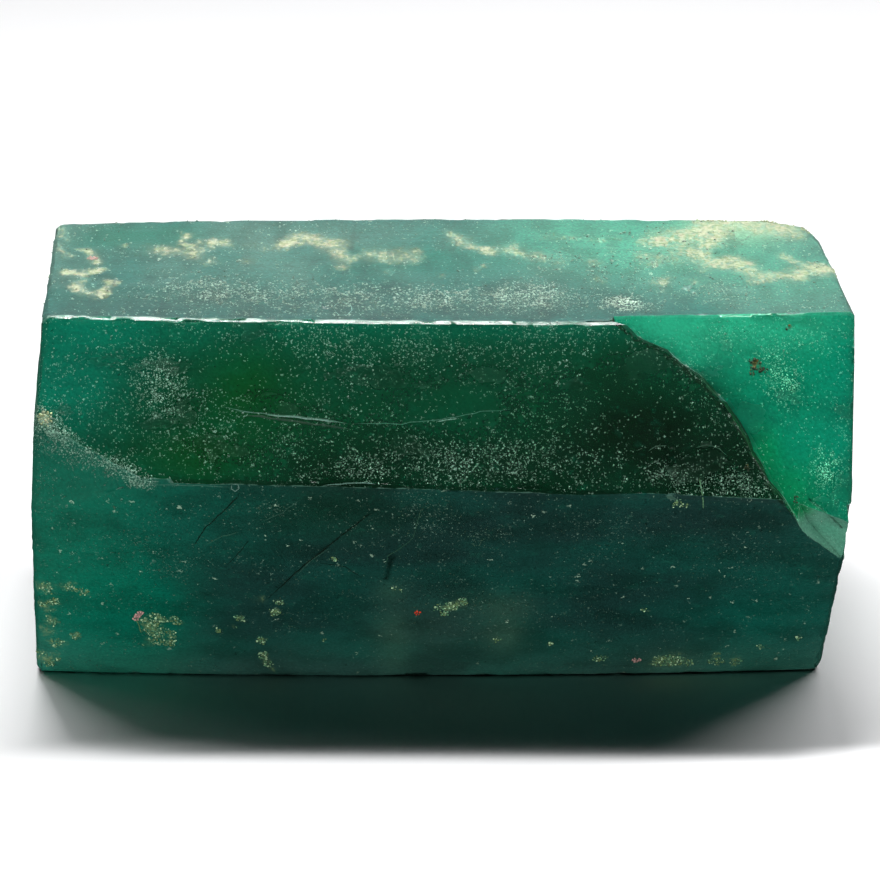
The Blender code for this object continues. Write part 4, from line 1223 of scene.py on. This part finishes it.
def grain_paint(marks, grain, pick):
    for name, tone in (("red", RED_COLOUR), ("pink", PINK_COLOUR), ("rust", RUST_COLOURS[pick])):
        if marks[name][grain] > COLOURED_FROM:
            return paint(*tone)
    return paint(*(LOWER_GRAIN_COLOURS if marks["lower"][grain] > 0.5 else GRAIN_COLOURS)[pick])


def add_grains(surface):
    draws = np.random.default_rng(SEED + 1)
    marks = surface.marks
    crust = marks["crust"] * (1 + 0.8 * noise(surface.flat, 0.6, SEED + 91))
    weights = np.clip(crust - CRUST_FROM, 0, 1) * (1 - marks["flat_top"])
    weights = weights + COLOURED_DENSITY * np.clip(marks["rust"] - RUST_FROM, 0, 1)
    for name in ("pink", "red"):
        weights = weights + COLOURED_DENSITY * (marks[name] > SPOT_FROM)
    weights = weights * (surface.flat[:, 2] > 2 * GRAIN_RADIUS[1])
    chosen, places = on_surface(surface, weights, GRAIN_SEEDS, draws)
    first_in_cell = {}
    for index, place in enumerate(places):
        first_in_cell.setdefault(tuple(np.floor(place / GRAIN_SPACING).astype(int)), index)
    kept = list(first_in_cell.values())
    chosen, places, count = chosen[kept], places[kept], len(kept)
    picks = draws.integers(0, len(GRAIN_COLOURS), count)
    corners = surface.triangles[chosen]
    under = {name: marks[name][corners].max(axis=1) for name in ("red", "pink", "rust", "lower")}
    colours = np.array([grain_paint(under, grain, pick) for grain, pick in enumerate(picks)])
    light = np.where(under["lower"] > 0.5, LOWER_GRAIN_LIGHT, SHADER_LIGHT)
    colours = colours * draws.uniform(*GRAIN_SHADES, (count, 1)) / light[:, None]
    sizes = random_sizes(draws, count, GRAIN_RADIUS, GRAIN_CROWDING, GRAIN_BREADTHS, GRAIN_HEIGHTS)
    normals = surface.face_normals[chosen]
    material = grain_material("crust", CRUST_ROUGHNESS)
    shape = icosahedron()
    return scatter("matrix_crust", shape, places, normals, sizes, GRAIN_SUNK, colours, draws, material)


def grain_material(name, roughness):
    """Grains in their own colours, speckled."""
    shader = Shader(name)
    inputs = shader.surface.inputs
    tone = shader.noise(0.06, 2.0)
    share = shader.times(shader.rise(tone, 0.4, 0.7), 0.18)
    shader.feed(inputs["Base Color"], shader.mix(share, shader.attribute("tint", "Color"), SPECKLE_COLOUR))
    inputs["Roughness"].default_value = roughness
    inputs["Specular IOR Level"].default_value = 0.35
    bump = shader.node("Bump", {"Strength": 0.5, "Distance": 0.02 * MM, "Height": tone})
    shader.feed(inputs["Normal"], bump.outputs[0])
    return shader.material


# ---------------------------------------------------------------- studio

# The studio is in metres and watts. The key is a strip of overlapping lamps, a little aslant to the crystal:
# how far along the strip each middle lies, its length and its power.
KEY_FROM, KEY_FAR, KEY_BREADTH, KEY_SLANT = (0, 0.155, 0.988), 0.35, 0.03, math.radians(8)
KEY_LAMPS = [(-0.025, 0.11, 0.95), (0.2, 0.32, 0.75), (-0.13, 0.14, 0.35), (0.0, 0.9, 0.25)]
# The fills light the crystal alone, and leave its shadow dark: place, size and power.
FILLS = [
    ((-0.5, -0.45, 0.08), 0.4, 3.1),
    ((0.5, -0.45, 0.08), 0.4, 2.7),
    ((-0.4, 0.5, 0.2), 0.4, 2.0),
    ((0.4, 0.5, 0.2), 0.4, 2.0),
]
FLOOR_SIZE, FLOOR_DROP = 4.0, 0.00003
PAPER_COLOUR, PAPER_ROUGHNESS, PAPER_SHINE = (0.9, 0.9, 0.91, 1), 0.9, 0.1
# The mirrored sky grows from the middle to the back and up from the horizon, between two strengths.
SKY_BACK, SKY_RISE = (0.0, 0.8, 0.04, 0.6), (0.0, 0.15)
GLOW, GLOW_COLOUR = 0.003, (0.15, 0.7, 0.6, 1)


def area_light(name, place, size, power, target=(0, 0, 0.01)):
    data = bpy.data.lights.new(name, "AREA")
    data.shape = "RECTANGLE"
    data.size, data.size_y = size
    data.energy = power
    light = bpy.data.objects.new(name, data)
    bpy.context.scene.collection.objects.link(light)
    light.location = place
    aim = Vector(target) - Vector(place)
    light.rotation_euler = aim.to_track_quat("-Z", "Y").to_euler()
    return light


def make_floor():
    mesh = bpy.data.meshes.new("floor")
    half = FLOOR_SIZE / 2
    corners = [(-half, -half, 0), (half, -half, 0), (half, half, 0), (-half, half, 0)]
    mesh.from_pydata(corners, [], [(0, 1, 2, 3)])
    floor = bpy.data.objects.new("floor", mesh)
    floor.location.z = -FLOOR_DROP
    bpy.context.scene.collection.objects.link(floor)
    material = bpy.data.materials.new("paper")
    material.use_nodes = True
    paper = material.node_tree.nodes["Principled BSDF"].inputs
    paper["Base Color"].default_value = PAPER_COLOUR
    paper["Roughness"].default_value = PAPER_ROUGHNESS
    paper["Specular IOR Level"].default_value = PAPER_SHINE
    mesh.materials.append(material)
    floor.visible_glossy = False


def make_world():
    """White to the camera. The crystal mirrors a sky bright at the back, and a faint glow lights it."""
    world = bpy.data.worlds.new("studio")
    world.use_nodes = True
    world.cycles.sampling_method = "NONE"
    bpy.context.scene.world = world
    nodes = Nodes(world.node_tree)
    rays = nodes.node("LightPath", {}).outputs
    place = nodes.node("TexCoord", {}).outputs["Generated"]
    axes = nodes.node("SeparateXYZ", {0: place}).outputs
    mirrored = nodes.times(nodes.slide(axes["Y"], *SKY_BACK), nodes.slide(axes["Z"], *SKY_RISE))
    strength = nodes.blend(rays["Is Glossy Ray"], GLOW, mirrored)
    background = world.node_tree.nodes["Background"].inputs
    nodes.feed(background["Strength"], nodes.blend(rays["Is Camera Ray"], strength, 1.0))
    nodes.feed(background["Color"], nodes.mix(rays["Is Diffuse Ray"], (1, 1, 1, 1), GLOW_COLOUR))


def make_lights(pieces):
    direction = Vector(KEY_FROM).normalized()
    along = Vector((math.cos(KEY_SLANT), math.sin(KEY_SLANT), 0))
    for number, (aside, length, power) in enumerate(KEY_LAMPS):
        middle = along * aside
        lamp = area_light(f"key_{number}", middle + direction * KEY_FAR, (length, KEY_BREADTH), power, middle)
        lamp.rotation_euler.rotate_axis("Z", KEY_SLANT)
    lit = bpy.data.collections.new("crystal")
    for piece in pieces:
        lit.objects.link(piece)
    for number, (where, size, power) in enumerate(FILLS):
        fill = area_light(f"fill_{number}", where, (size, size), power)
        fill.visible_glossy = False
        fill.light_linking.receiver_collection = lit


def main():
    node, cad_box = load_frame()
    make_camera()
    surface = Surface(node)
    add_marks(surface)
    add_colours(surface)
    press(surface)
    crystal = make_crystal(surface, emerald_material())
    pieces = [crystal, add_flakes(surface), add_grains(surface), add_hairlines(surface)]
    make_floor()
    make_world()
    make_lights(pieces)
    bpy.context.scene.view_settings.view_transform = "Standard"


main()
